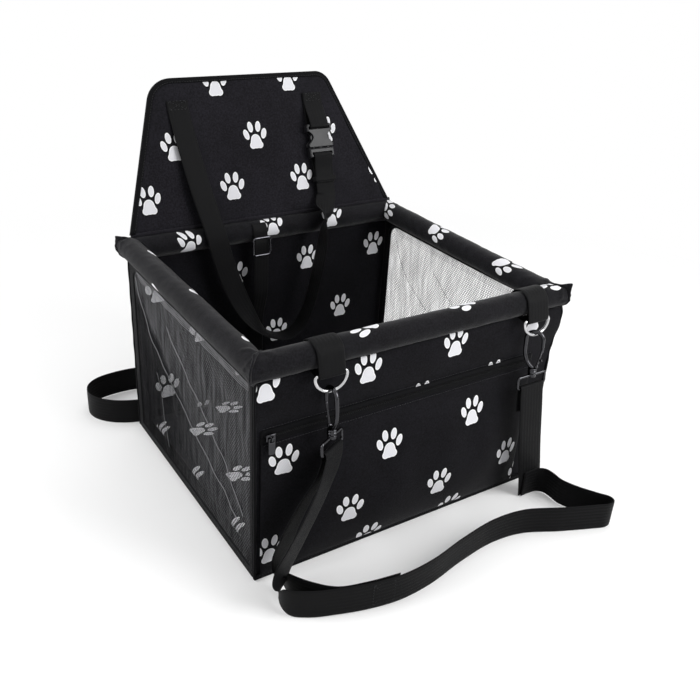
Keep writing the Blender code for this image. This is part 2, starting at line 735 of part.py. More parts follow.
carry_route_lap = [(-0.0740, -0.2632), (-0.1098, -0.2574), (-0.1395, -0.2484), (-0.1580, -0.2310)]
carry_route_rise = [(-0.1690, -0.2130, 0.0182, 0.05), (-0.1725, -0.1990, 0.0230, 0.25),
                    (-0.1680, -0.1925, 0.0390, 0.55), (-0.1540, -0.1915, 0.0660, 0.75),
                    (-0.1360, -0.1910, 0.1000, 0.92), (-0.1225, -0.1895, 0.1300, 1.0)]
carry_route_fall = [(-0.1235, -0.1975, 0.1300, 1.0), (-0.1410, -0.2030, 0.1000, 0.92),
                    (-0.1630, -0.2060, 0.0640, 0.75), (-0.1800, -0.2085, 0.0380, 0.55),
                    (-0.1870, -0.2160, 0.0230, 0.25), (-0.1825, -0.2290, 0.0182, 0.05)]
carry_route_floor = [(-0.1660, -0.2410), (-0.1400, -0.2512), (-0.1100, -0.2602), (-0.0740, -0.2660),
                     (-0.0330, -0.2635), (0.0175, -0.2525), (0.0685, -0.2455), (0.1100, -0.2500),
                     (0.1520, -0.2690), (0.1900, -0.2845), (0.2060, -0.2900), (0.2140, -0.2880),
                     (0.2155, -0.2810), (0.2080, -0.2690), (0.1955, -0.2480), (0.1885, -0.2290),
                     (0.1890, -0.2150), (0.1875, -0.2050), (0.1810, -0.1992), (0.1700, -0.1980),
                     (0.1580, -0.1980)]
drop_route = [(0.1512, -0.1945, 0.1300), (0.1545, -0.1962, 0.1000), (0.1605, -0.1964, 0.0650),
              (0.1670, -0.1960, 0.0350), (0.1705, -0.1958, 0.0160), (0.1725, -0.1958, 0.0030)]
drop_tail = 0.030


def make_carry_strap():
    """The carry strap: doubled at the left eye, along the seat, and up to the right eye."""
    left_across = left_eye_bar.to_3x3() @ Vector(sideways)

    def leaning(route):
        return [((x, y, z), mix(downward, left_across, share)) for x, y, z, share in route]

    def standing(route):
        return [((x, y, strap_height), downward) for x, y in route]

    rows = standing(carry_route_lap) + leaning(carry_route_rise)
    rows += bar_turn(left_eye_bar, eye_wire)
    rows += leaning(carry_route_fall) + standing(carry_route_floor)
    strap("carry_strap", rows, web_width)
    reach = eye_wire + clearance + web_thickness / 2
    tail = placed(right_eye_bar, [((0, reach, -drop_tail), sideways), ((0, reach, -drop_tail / 2), sideways)])
    rows = tail + bar_turn(right_eye_bar, eye_wire)
    rows += [(place, sideways) for place in drop_route]
    strap("drop_strap", rows, web_width)


head_route_flap = [(-0.1020, 0.1495, 0.0031), (-0.1020, 0.1415, 0.0032), (-0.0985, 0.1115, 0.0060),
                   (-0.0910, 0.0665, 0.0100), (-0.0830, 0.0265, 0.0125)]
head_route_hang = [(-0.0745, 0.1475, 0.2560, 0.0), (-0.0685, 0.1445, 0.2250, 0.0), (-0.0590, 0.1430, 0.1900, 0.0),
                   (-0.0460, 0.1410, 0.1550, 0.2), (-0.0300, 0.1380, 0.1260, 0.5), (-0.0110, 0.1360, 0.1085, 0.85),
                   (0.0100, 0.1350, 0.1030, 1.0), (0.0300, 0.1350, 0.1120, 1.0), (0.0450, 0.1355, 0.1370, 1.0),
                   (0.0540, 0.1355, 0.1700, 1.0), (0.0605, 0.1350, 0.2050, 1.0), (0.0650, 0.1345, 0.2380, 0.9),
                   (0.0690, 0.1395, 0.2620, 0.6)]
head_route_end = [(0.0770, 0.0065, 0.0140), (0.0828, 0.0235, 0.0089), (0.0840, 0.0325, 0.0085),
                  (0.0840, 0.0415, 0.0085)]
head_lap = 0.066
tail_route_shares = ((0.50, 0.20), (0.16, 0.40), (0.0, 0.58), (0.0, 1.0))
tail_length = 0.033
ply_reach = 0.0019
keeper_height = 0.006
keeper_wall = 0.0008
keeper_drop = 0.041


def make_head_strap():
    """The strap that goes round a headrest: its long loop, its buckle and its sewn ends."""
    depth = (0, 1, 0)
    frame = flap_place(head_buckle_place, head_buckle_rise, strap_standoff)
    low_slot, high_slot = make_buckle("head_buckle", frame, 1.0)
    rows = [(flap_place(x, rise, out).translation, sideways) for x, rise, out in head_route_flap]
    rows += [((x, y, z), mix(sideways, depth, share)) for x, y, z, share in head_route_hang]
    rows += [(flap_place(x, rise, out).translation, sideways) for x, rise, out in head_route_end]
    strap("head_strap", rows, head_web_width)
    out = buckle_thickness / 2 + clearance + web_thickness / 2
    bar_low = low_slot - buckle_slot / 2 - buckle_bar
    half = [((0, ply_reach + (out - ply_reach) * near, bar_low - tail_length * far), sideways)
            for near, far in tail_route_shares]
    behind = placed(frame, [row for row in reversed(half)])
    ahead = placed(frame, [((0, -place[1], place[2]), across) for place, across in half])
    strap("head_tail", behind + buckle_turn(frame, low_slot, -1, 1.0) + ahead, head_web_width)
    keeper_size = (head_web_width + 2 * (clearance + keeper_wall),
                   2 * (ply_reach + web_thickness / 2 + clearance + keeper_wall), keeper_height)
    keeper = put(block_mesh("head_keeper", keeper_size), "head_keeper", webbing, frame @ shift(z=-keeper_drop))
    hole = (keeper_size[0] - 2 * keeper_wall, keeper_size[1] - 2 * keeper_wall, 2 * keeper_height)
    boolean(keeper, block_mesh("keeper_hole", hole), "DIFFERENCE")
    top = head_anchor_rise + web_thickness * 4
    seat = flap_thickness / 2 + clearance + web_thickness / 2
    back_out = strap_standoff - out
    bar_high = head_buckle_rise + high_slot + buckle_slot / 2 + buckle_bar
    run = top - bar_high
    rows = [(flap_place(head_buckle_place, top, seat).translation, sideways),
            (flap_place(head_buckle_place, bar_high + run / 2, seat).translation, sideways),
            (flap_place(head_buckle_place, bar_high, back_out).translation, sideways)]
    rows += buckle_turn(frame, high_slot, 1, 1.0)
    lap = seat + web_thickness + clearance
    for rise, ahead_out in ((0.12, strap_standoff + out * 0.8), (0.45, strap_standoff - out * 0.1), (0.72, lap),
                            (1.0, lap)):
        rows.append((flap_place(head_buckle_place, bar_high + run * rise, ahead_out).translation, sideways))
    strap("head_anchor", rows, head_web_width)


tether_route = [(0.1480, 0.2440), (0.1464, 0.2380), (0.1462, 0.2250), (0.1462, 0.2050), (0.1462, 0.1850),
                (0.1468, 0.1660), (0.1520, 0.1480), (0.1580, 0.1280), (0.1600, 0.1050), (0.1600, 0.0750),
                (0.1575, 0.0520), (0.1490, 0.0340), (0.1360, 0.0250), (0.1220, 0.0234)]
tether_hook_place = 0.098
tether_tail = 0.022


def make_tether():
    """The tether: a strap from the back rim, its three-bar slide, and its small hook on the pad."""
    scale = tether_clip_scale
    lie = pad_top + collar_radius * scale + clearance
    origin = tether_hook_place - (eye_top_drop + barrel_length / 2 + eye_height) * scale
    frame = shift(tether_place, origin, lie) @ Matrix.Rotation(math.pi / 2, 4, "X")
    bar = make_hook("tether", frame, -math.pi / 2, 0.0, scale)
    reach = rim_radius + clearance + web_thickness / 2
    rows = []
    for turn in (math.radians(38), math.radians(60), math.radians(80)):
        y, z = rim_y - reach * math.sin(turn), rim_height + reach * math.cos(turn)
        rows.append(((tether_place, y, z), sideways))
    rows += [((tether_place, y, z), sideways) for y, z in tether_route]
    turn_reach = eye_wire * scale + clearance + web_thickness / 2
    rows += bar_turn(bar, eye_wire * scale)
    rows += placed(bar, [((0, -turn_reach, -tether_tail * share), sideways) for share in (0.6, 1.0)])
    strap("tether_strap", rows, tether_web_width)
    inner = tether_web_width / 2 + 2 * clearance
    outer = inner + glide_rail
    offset = glide_bar + clearance + web_thickness / 2
    high = glide_height / 2
    ring = rounded_outline([(-outer, -high, glide_rail), (outer, -high, glide_rail), (outer, high, glide_rail),
                            (-outer, high, glide_rail)], 3)
    window = [(-inner, -high + glide_rail), (inner, -high + glide_rail), (inner, high - glide_rail),
              (-inner, high - glide_rail)]
    glide = put(plate_mesh("tether_glide", [ring, window], 2 * glide_bar), "tether_glide", dark_metal,
                shift(tether_place, tether_line - offset, glide_rise) @ Matrix.Rotation(math.pi / 2, 4, "X"))
    leg_size = (glide_rail, 2 * glide_bar * 2, 2 * (offset + glide_bar))
    for side in (-1, 1):
        boolean(glide, block_mesh("glide_leg", leg_size), "UNION",
                shift(x=side * (inner + glide_rail / 2 - clearance / 3), z=-offset))
    bar_mesh = rod_mesh("glide_bar", glide_bar, 2 * inner + glide_rail, "X", 12)
    boolean(glide, bar_mesh, "UNION", shift(z=-2 * offset))


seat_route_left = [(-0.1150, 0.1691), (-0.1450, 0.1691), (-0.1720, 0.1700), (-0.1980, 0.1760), (-0.2200, 0.1880),
                   (-0.2350, 0.2050), (-0.2395, 0.2230), (-0.2340, 0.2400), (-0.2200, 0.2515), (-0.1980, 0.2570),
                   (-0.1680, 0.2570), (-0.1320, 0.2500)]
seat_route_rise = [(-0.0980, 0.2430, 0.5), (-0.0720, 0.2395, 0.95)]
seat_route_right = [(0.0380, 0.2300, 1.0), (0.0620, 0.2250, 0.7), (0.0900, 0.2130, 0.2), (0.1150, 0.1985, 0.0),
                    (0.1360, 0.1850, 0.0), (0.1540, 0.1745, 0.0), (0.1680, 0.1700, 0.0), (0.1840, 0.1691, 0.0)]
seat_buckle_place = (-0.005, 0.232)
seat_lap = 0.034


def make_seat_strap():
    """The strap that goes round the car seat's backrest: two lengths and a buckle, behind the box."""
    scale = web_width / head_web_width
    buckle_lie = buckle_width / 2 * scale + clearance
    lift = buckle_lie - strap_height
    upright = Matrix(((0, 0, -1, 0), (0, 1, 0, 0), (1, 0, 0, 0), (0, 0, 0, 1)))
    frame = shift(seat_buckle_place[0], seat_buckle_place[1], buckle_lie) @ upright
    low_slot, high_slot = make_buckle("seat_buckle", frame, scale)
    upward = (0, 0, 1)
    out = buckle_thickness / 2 * scale + clearance + web_thickness / 2
    lap = web_thickness + clearance
    bar_high = high_slot + (buckle_slot / 2 + buckle_bar) * scale
    bar_low = low_slot - (buckle_slot / 2 + buckle_bar) * scale
    rows = [((x, y, strap_height), upward) for x, y in seat_route_left]
    rows += [((x, y, strap_height + lift * share), upward) for x, y, share in seat_route_rise]
    past = web_thickness * 2.5
    rows += placed(frame, [((0, out, bar_high + past), sideways), ((0, out, bar_high), sideways)])
    rows += buckle_turn(frame, high_slot, 1, scale)
    rows += placed(frame, [((0, -out, bar_high), sideways),
                           ((0, -out * 0.6, bar_high + seat_lap * 0.35), sideways),
                           ((0, out - lap * 1.5, bar_high + seat_lap), sideways)])
    strap("seat_strap_left", rows, web_width)
    rows = placed(frame, [((0, lap, bar_low - seat_lap), sideways),
                          ((0, out * 0.7, bar_low - seat_lap * 0.3), sideways),
                          ((0, out, bar_low), sideways)])
    rows += buckle_turn(frame, low_slot, -1, scale)
    rows += placed(frame, [((0, -out, bar_low), sideways), ((0, -out, bar_low - past), sideways)])
    rows += [((x, y, strap_height + lift * share), upward) for x, y, share in seat_route_right]
    strap("seat_strap_right", rows, web_width)


make_carry_strap()
make_head_strap()
make_tether()
make_seat_strap()
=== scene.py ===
"""Dog car seat, dressed: printed fabric, padded rim, mesh sides, webbing, clips and buckles."""
import math

import bmesh
import bpy
import numpy as np
from mathutils import Matrix, Vector


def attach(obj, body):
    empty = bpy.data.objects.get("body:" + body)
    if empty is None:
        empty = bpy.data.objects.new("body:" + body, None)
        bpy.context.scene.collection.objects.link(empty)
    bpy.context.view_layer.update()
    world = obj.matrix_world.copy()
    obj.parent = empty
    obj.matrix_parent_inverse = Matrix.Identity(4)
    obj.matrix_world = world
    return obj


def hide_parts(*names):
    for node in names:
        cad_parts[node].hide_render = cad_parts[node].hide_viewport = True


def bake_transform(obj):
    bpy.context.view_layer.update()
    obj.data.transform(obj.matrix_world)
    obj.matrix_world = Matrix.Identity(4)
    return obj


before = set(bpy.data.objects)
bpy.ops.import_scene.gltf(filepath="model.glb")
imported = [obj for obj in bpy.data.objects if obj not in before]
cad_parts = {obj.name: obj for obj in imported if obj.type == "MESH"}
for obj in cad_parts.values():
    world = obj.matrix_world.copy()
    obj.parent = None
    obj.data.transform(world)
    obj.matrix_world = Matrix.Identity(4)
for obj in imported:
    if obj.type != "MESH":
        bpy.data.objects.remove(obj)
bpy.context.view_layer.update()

# Sizes of the part, in metres, as in its source
half_width = 0.190
half_depth = 0.168
wall = 0.003
gap = 0.0003
rim_radius = 0.014
rim_x = 0.186
rim_y = 0.164
rim_height = 0.250
wall_top = rim_height - rim_radius - gap
side_half = half_depth - wall - gap
pad_low = 0.0033
pad_high = 0.0173
zip_height = 0.176
zip_left = -0.184
zip_right = 0.166
hinge_height = 0.2669
flap_lean = math.radians(20)
flap_height = 0.1765
flap_skew = -0.010
flap_foot = -0.0002
flap_foot_half = 0.187
flap_head_half = 0.120
flap_round = 0.022
flap_round_left = 0.036
flap_binding_width = 0.007
web_width = 0.035
web_thickness = 0.0014
head_web_width = 0.027
tether_web_width = 0.020
left_clip_x = -0.116
right_clip_x = 0.150
loop_width = 0.030
loop_drop = math.radians(42)
loop_bar_reach = 0.0225
clip_tilt = math.radians(6)
ring_wire = 0.0018
ring_half_width = 0.0178
ring_drop = 0.019
hook_wire = 0.0021
hook_half_width = 0.0095
hook_length = 0.044
hook_nose = 0.008
collar_radius = 0.0050
collar_length = 0.006
barrel_length = 0.0042
eye_wire = 0.0016
eye_width = 0.041
eye_height = 0.0135
gate_wire = 0.0013
knuckle_radius = 0.0018
right_hook_turn = math.radians(-145)
left_eye_turn = math.radians(30)
tether_scale = 0.72
buckle_thickness = 0.0092
buckle_slot = 0.0032
buckle_bar = 0.0034
buckle_length = 0.030
buckle_width = 0.037
male_foot = -0.0131
head_buckle_x = 0.084
head_buckle_rise = 0.0785
head_buckle_out = 0.0085
tether_x = -0.021
half_ply = gap + web_thickness / 2
hook_top = -(ring_drop - ring_wire - hook_wire - gap)
hook_base = hook_top - hook_length
large_scale = web_width / head_web_width
millimetre = 0.001

# Sewing and cloth, in metres
stitch_pitch = 0.0032
stitch_length = 0.0023
stitch_thick = 0.00055
stitch_lift = 0.0001
panel_edge = 0.0012
edge_row_share = 0.35
thinnest_share = 0.12
strap_steps = 6

# Camera: the photograph's viewing angle, and its width and focal length in pixels
photo_width = 700.0
photo_focal_length = 827.3
camera_place = Vector((-0.4857, -0.7500, 0.6187))
camera_ahead = Vector((0.4994, 0.7303, -0.4662)).normalized()
camera_right = Vector((0.8404, -0.5391, 0.0558)).normalized()


def make_camera():
    """A camera at the photograph's place, with its axes and its focal length."""
    lens = bpy.data.cameras.new("camera")
    lens.sensor_width = 36.0
    lens.lens = lens.sensor_width * photo_focal_length / photo_width
    lens.clip_start = 0.01
    camera = bpy.data.objects.new("camera", lens)
    bpy.context.scene.collection.objects.link(camera)
    axes = Matrix((camera_right, camera_right.cross(camera_ahead), -camera_ahead)).transposed()
    camera.matrix_world = Matrix.Translation(camera_place) @ axes.to_4x4()
    bpy.context.scene.camera = camera


make_camera()


# Places along a route

def side_by_side(*columns):
    """Rows of numbers, or single numbers, as the columns of one array."""
    return np.stack(np.broadcast_arrays(*columns), -1)


def smooth_route(rows, steps):
    """A smooth curve through rows: centripetal Catmull-Rom, spaced by the first three columns."""
    rows = np.array(rows, float)
    longer = np.vstack([2 * rows[0] - rows[1], rows, 2 * rows[-1] - rows[-2]])
    gaps = np.sqrt(np.maximum(np.linalg.norm(np.diff(longer[:, :3], axis=0), axis=1), 1e-6))[:, None]
    before, here, after, later = longer[:-3], longer[1:-2], longer[2:-1], longer[3:]
    first, middle, last = gaps[:-2], gaps[1:-1], gaps[2:]
    leave = ((here - before) / first - (after - before) / (first + middle) + (after - here) / middle) * middle
    reach = ((after - here) / middle - (later - here) / (middle + last) + (later - after) / last) * middle
    t = (np.arange(steps) / steps)[None, :, None]
    here, leave, reach, after = (part[:, None] for part in (here, leave, reach, after))
    found = ((2 * t ** 3 - 3 * t ** 2 + 1) * here + (t ** 3 - 2 * t ** 2 + t) * leave
             + (t ** 3 - t ** 2) * reach + (3 * t ** 2 - 2 * t ** 3) * after)
    return np.vstack([found.reshape(-1, rows.shape[1]), rows[-1:]])


def smooth_line(points, steps):
    """A smooth curve through points of a plane."""
    return smooth_route([(a, b, 0.0) for a, b in points], steps)[:, :2]


def whole_turn(count):
    """Angles spaced evenly round a whole turn."""
    return np.linspace(0, 2 * math.pi, count, endpoint=False)


def unit(vectors):
    """The same directions with length one."""
    vectors = np.asarray(vectors, float)
    return vectors / np.maximum(np.linalg.norm(vectors, axis=-1, keepdims=True), 1e-12)


def ahead_of(path, loop=False):
    """The direction of travel at each point of a path, from its neighbours."""
    if loop:
        return unit(np.roll(path, -1, axis=0) - np.roll(path, 1, axis=0))
    return unit(np.gradient(path, axis=0))


def run_along(path):
    """The distance travelled at each point of a path."""
    return np.r_[0, np.cumsum(np.linalg.norm(np.diff(path, axis=0), axis=1))]


def even_points(path, pitch, margin=0.0):
    """Points spaced evenly along a path, from a margin after its start to a margin before its end."""
    run = run_along(path)
    count = max(2, int((run[-1] - 2 * margin) / pitch))
    wanted = np.linspace(margin, run[-1] - margin, count)
    return np.stack([np.interp(wanted, run, path[:, axis]) for axis in range(3)], 1)


def arc(centre, radius, start, end, steps):
    """Points on an arc in the plane of the two coordinates given."""
    turn = np.linspace(start, end, steps + 1)
    return np.stack([centre[0] + radius * np.cos(turn), centre[1] + radius * np.sin(turn)], 1)


def rounded_outline(corners, steps=6):
    """An anticlockwise outline whose corners are arcs: each corner is x, y and its radius."""
    outline = []
    for index, (x, y, radius) in enumerate(corners):
        corner = Vector((x, y))
        before = (Vector(corners[index - 1][:2]) - corner).normalized()
        after = (Vector(corners[(index + 1) % len(corners)][:2]) - corner).normalized()
        half_angle = before.angle(after) / 2
        middle = corner + (before + after).normalized() * radius / math.sin(half_angle)
        first = corner + before * radius / math.tan(half_angle) - middle
        last = corner + after * radius / math.tan(half_angle) - middle
        start = math.atan2(first.y, first.x)
        sweep = (math.atan2(last.y, last.x) - start + math.pi) % (2 * math.pi) - math.pi
        outline.append(arc(middle, radius, start, start + sweep, steps))
    return np.vstack(outline)


def rounded_rectangle(half, low, high, radius, steps=6):
    """A rectangle's outline with round corners, from -half to half across and from low to high."""
    corners = [(-half, low, radius), (half, low, radius), (half, high, radius), (-half, high, radius)]
    return rounded_outline(corners, steps)


def filled_in(points, counts):
    """A path with each straight stretch split into a number of equal parts."""
    parts = [points[i] + (points[i + 1] - points[i]) * (np.arange(n) / n)[:, None]
             for i, n in enumerate(counts)]
    return np.vstack(parts + [points[-1:]])


def straight(first, last, count):
    """A straight path of that many equal parts."""
    return filled_in(np.array([first, last]), [count])


def part_counts(path, pitch):
    """How many parts of about that length each straight stretch of a path is split into."""
    return np.maximum(1, (np.linalg.norm(np.diff(path, axis=0), axis=1) / pitch).astype(int))


def ripple(x, z, seed, length):
    """Soft uneven waves between about minus one and one: nine sines in random directions."""
    waves = 9
    draw = np.random.default_rng(seed)
    turn, start = draw.uniform(0, 2 * math.pi, (2, waves))
    pitch = length * draw.uniform(0.6, 1.7, waves)
    across = x[..., None] * np.cos(turn) + z[..., None] * np.sin(turn)
    return np.sin(2 * math.pi * across / pitch + start).sum(-1) / math.sqrt(waves)


def ease(value, low, high):
    """Nought below low, one above high, and a smooth step between."""
    t = np.clip((value - low) / (high - low), 0, 1)
    return t * t * (3 - 2 * t)


def placed(place, points):
    """Points in a frame, as points in the world."""
    turn = np.array(place)
    return np.asarray(points, float) @ turn[:3, :3].T + turn[:3, 3]


def direction(place, vector):
    """A direction in a frame, as a direction in the world."""
    return placed(place, [vector])[0] - np.array(place.translation)


def about(axis, angle):
    """A turn about an axis."""
    return Matrix.Rotation(angle, 4, axis)


def shift(x=0.0, y=0.0, z=0.0):
    """A move along the axes."""
    return Matrix.Translation((x, y, z))


# Skins: closed surfaces of points, faces and the place of each face's corners on the cloth

def skin(rings, cloth=None, loop=False):
    """A closed skin through rings of points along a path: a loop, or shut by strips across its ends.

    Neighbouring rings i, i+1 and neighbouring points j, j+1 make one four-sided face. At an end, point j
    is joined to the point as far round the other way.
    """
    rings = np.asarray(rings, float)
    count, around = rings.shape[:2]
    if cloth is None:
        along = run_along(rings[:, 0])
        along = np.r_[along, along[-1] + 0.001] if loop else along
        side = np.linspace(0, 1, around + 1) * run_along(rings[count // 2])[-1]
        cloth = side_by_side(along[:, None], side[None, :])
    i = np.arange(count if loop else count - 1)[:, None]
    j = np.arange(around)[None, :]
    corners = [(i, j), (i + 1, j), (i + 1, j + 1), (i, j + 1)]
    quads = np.stack([(a % count) * around + b % around for a, b in corners], -1).reshape(-1, 4)
    quad_cloth = np.stack([cloth[a, b] for a, b in corners], 2).reshape(-1, 4, 2)
    tris, tri_cloth = np.zeros((0, 3), int), np.zeros((0, 3, 2))
    if not loop:
        half = around // 2
        j = np.arange(1, half - 1)
        strip = np.stack([j, j + 1, around - j - 1, around - j], 1)
        tip = np.array([[0, 1, around - 1], [half - 1, half, half + 1]])
        last = (count - 1) * around
        quads = np.vstack([quads, strip, strip[:, ::-1] + last])
        quad_cloth = np.concatenate([quad_cloth, cloth[0][strip], cloth[-1][strip[:, ::-1]]])
        tris = np.vstack([tip, tip[:, ::-1] + last])
        tri_cloth = np.concatenate([cloth[0][tip], cloth[-1][tip[:, ::-1]]])
    points = rings.reshape(-1, 3)
    a, b, c, d = (points[quads[:, k]] - points[0] for k in range(4))
    faces = [quads, tris, quad_cloth, tri_cloth]
    if (np.cross(a, b) * c + np.cross(a, c) * d).sum() < 0:
        faces = [part[:, ::-1] for part in faces]
    return (points, *faces)


def joined(skins):
    """Several skins as one."""
    points, quads, tris, quad_cloth, tri_cloth = zip(*skins)
    starts = np.r_[0, np.cumsum([len(part) for part in points])[:-1]]
    return (np.vstack(points), np.vstack([part + start for part, start in zip(quads, starts)]),
            np.vstack([part + start for part, start in zip(tris, starts)]),
            np.concatenate(quad_cloth), np.concatenate(tri_cloth))


def repeated(part, origins, axes):
    """One small skin set down at many origins, each with its own three axes."""
    points, quads, tris, quad_cloth, tri_cloth = part
    count = len(origins)
    move = (np.arange(count) * len(points))[:, None, None]
    return ((origins[:, None] + np.einsum("pk,nkc->npc", points, axes)).reshape(-1, 3),
            (quads[None] + move).reshape(-1, 4), (tris[None] + move).reshape(-1, 3),
            np.tile(quad_cloth, (count, 1, 1)), np.tile(tri_cloth, (count, 1, 1)))


def nearest_centres(places, centres):
    """For each place on the cloth, the row of the centre nearest to it."""
    return centres[np.argmin(((places[:, None] - centres[None, :, :2]) ** 2).sum(-1), axis=1)]


def print_places(cloth, centres):
    """Each corner's place measured from the print nearest to its face's middle, turned with that print."""
    if not len(centres):
        return np.full(cloth.shape, 1.0)
    centres = np.array([tuple(centre) + (0.0,) * (3 - len(centre)) for centre in centres], float)
    nearest = nearest_centres(cloth.mean(axis=1), centres)
    away = cloth - nearest[:, None, :2]
    c, s = np.cos(nearest[:, 2])[:, None], np.sin(nearest[:, 2])[:, None]
    return np.stack([away[..., 0] * c + away[..., 1] * s, away[..., 1] * c - away[..., 0] * s], -1)


def linked(name, data):
    """A new object of that data, in the scene."""
    made = bpy.data.objects.new(name, data)
    bpy.context.scene.collection.objects.link(made)
    return made


def mesh_piece(name, part, material, prints=()):
    """An object made of a skin, with its cloth map and its map from the nearest print, both in metres."""
    points, quads, tris, quad_cloth, tri_cloth = part
    mesh = bpy.data.meshes.new(name)
    mesh.from_pydata(points.tolist(), [], quads.tolist() + tris.tolist())
    for layer, values in (("cloth", (quad_cloth, tri_cloth)),
                          ("print", (print_places(quad_cloth, prints), print_places(tri_cloth, prints)))):
        found = mesh.uv_layers.new(name=layer)
        found.data.foreach_set("uv", np.concatenate([value.reshape(-1, 2) for value in values]).ravel())
    mesh.materials.append(material)
    mesh.shade_smooth()
    return linked(name, mesh)


def kept(piece, body, slot, *nodes):
    """Let a piece ride on its body and stand for its nodes. slot is not used."""
    if body:
        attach(piece, body)
    if nodes:
        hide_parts(*nodes)
    return piece


def sewn(name, part, material, body, slot, *nodes, prints=()):
    """A new piece made of a skin, riding on its body, that stands for the nodes given."""
    return kept(mesh_piece(name, part, material, prints), body, slot, *nodes)


def flat_profile(columns):
    """Across and lift of a flat strap's outline, each from minus one to one: a rounded, flat oval."""
    share = np.sin(np.linspace(-math.pi / 2, math.pi / 2, columns))
    lift = np.sqrt(1 - np.abs(share) ** 10)
    return np.r_[share, share[-2:0:-1]], np.r_[lift, -lift[-2:0:-1]]


def strap_run(places, loop):
    """The distance travelled along a strap's places, and home again where it is a loop."""
    run = run_along(places)
    return np.r_[run, run[-1] + np.linalg.norm(places[-1] - places[0])] if loop else run


def web(rows, width, thickness=web_thickness, columns=13, loop=False):
    """A flat strap carried along rows, each a place and the direction across it there.

    The outline is a flat oval of the strap's width and thickness, square to the path at each station.
    """
    rows = np.array([(*place, *across) for place, across in rows], float)
    stations = rows if loop else smooth_route(rows, strap_steps)
    places = stations[:, :3]
    ahead = ahead_of(places, loop)
    side = stations[:, 3:]
    side = unit(side - (side * ahead).sum(1, keepdims=True) * ahead)
    out = np.cross(ahead, side)
    share, lift = flat_profile(columns)
    rings = (places[:, None] + side[:, None] * (share * width / 2)[None, :, None]
             + out[:, None] * (lift * thickness / 2)[None, :, None])
    wrapped = np.r_[share, share[:1]] * width / 2
    return skin(rings, side_by_side(strap_run(places, loop)[:, None], wrapped[None, :]), loop)


def wire(path, radius, normal, loop=False, sides=16):
    """A round rod along a flat path, with domed ends. normal is square to the path's plane."""
    path = np.asarray(path, float)
    radius = np.broadcast_to(np.asarray(radius, float), len(path)).copy()
    ahead = ahead_of(path, loop)
    if not loop:
        turn = np.radians([80, 55, 25])[:, None]
        start = path[0] - ahead[0] * radius[0] * np.sin(turn)
        end = path[-1] + ahead[-1] * radius[-1] * np.sin(turn[::-1])
        radius = np.r_[radius[0] * np.cos(turn[:, 0]), radius, radius[-1] * np.cos(turn[::-1, 0])]
        path = np.vstack([start, path, end])
        ahead = np.vstack([ahead[:1].repeat(3, 0), ahead, ahead[-1:].repeat(3, 0)])
    normal = np.broadcast_to(np.asarray(normal, float), path.shape)
    side = unit(np.cross(ahead, normal))
    turn = whole_turn(sides)
    rings = path[:, None] + radius[:, None, None] * (side[:, None] * np.cos(turn)[None, :, None]
                                                     + normal[:, None] * np.sin(turn)[None, :, None])
    return skin(rings, None, loop)


def turned(profile, place, sides=24, loop=False):
    """A profile of radius and height, turned about the frame's Z axis."""
    profile = np.asarray(profile, float)
    turn = whole_turn(sides)
    rings = side_by_side(profile[:, :1] * np.cos(turn), profile[:, :1] * np.sin(turn), profile[:, 1:])
    return skin(placed(place, rings), None, loop)


def level(depth):
    """A panel's depth that is the same everywhere."""
    return lambda x, z: depth + 0 * x


def panel(left, right, rises, front, back, place=None, pitch=0.004, edge=panel_edge):
    """A panel of cloth: each rise has a ring, along the front from left to right and home along the back.

    front and back give the depth at each place across and up, and the thickness closes to nothing over
    the edge width, like a quarter circle.
    """
    rises = np.asarray(rises, float)
    left, right = (np.broadcast_to(np.asarray(side, float), rises.shape)[:, None] for side in (left, right))
    width = float((right - left).max())
    share = edge / width
    inner = np.linspace(share, 1 - share, int(width / pitch))
    share = np.r_[0, share * edge_row_share, inner, 1 - share * edge_row_share, 1][None, :]
    x = left + (right - left) * share
    z = np.broadcast_to(rises[:, None], x.shape)
    near = np.minimum(np.minimum(x - left, right - x), np.minimum(z - rises[0], rises[-1] - z))
    open_by = np.maximum(np.sqrt(1 - (1 - np.clip(near / edge, 0, 1)) ** 2), thinnest_share)
    low, high = front(x, z), back(x, z)
    middle, half = (low + high) / 2, (high - low) / 2 * open_by
    half[:, [0, -1]] = 0
    front_side = np.stack([x, middle - half, z], -1)
    back_side = np.stack([x, middle + half, z], -1)[:, -2:0:-1]
    rings = np.concatenate([front_side, back_side], 1)
    cloth = np.concatenate([rings[..., [0, 2]], rings[:, :1, [0, 2]]], 1)
    return skin(rings if place is None else placed(place, rings), cloth)


def rows_between(low, high, pitch, edge=panel_edge):
    """Rises from low to high with two close rows at each end."""
    inner = np.linspace(low + edge, high - edge, int((high - low) / pitch))
    return np.r_[low, low + edge * edge_row_share, inner, high - edge * edge_row_share, high]


def band(outer, inner, thickness, out, place=None, loop=True, columns=9):
    """A binding: a flat oval carried between an outer and an inner outline in the plane of x and z.

    out is the place of the band's middle in y.
    """
    share, lift = flat_profile(columns)
    middle = (outer + inner) / 2
    half = (inner - outer) / 2
    flat = middle[:, None] + half[:, None] * share[None, :, None]
    depth = out + np.broadcast_to(lift * thickness / 2, flat.shape[:2])
    rings = np.stack([flat[..., 0], depth, flat[..., 1]], -1)
    breadth = np.linalg.norm(half, axis=1).mean()
    cloth = side_by_side(strap_run(middle, loop)[:, None], (np.r_[share, share[:1]] * breadth)[None, :])
    return skin(rings if place is None else placed(place, rings), cloth, loop)


def level_tape(start, end, low, high, thickness, out, count):
    """A tape that runs level across, between a low and a high edge."""
    x = np.linspace(start, end, count)
    return band(side_by_side(x, low), side_by_side(x, high), thickness, out, None, False)


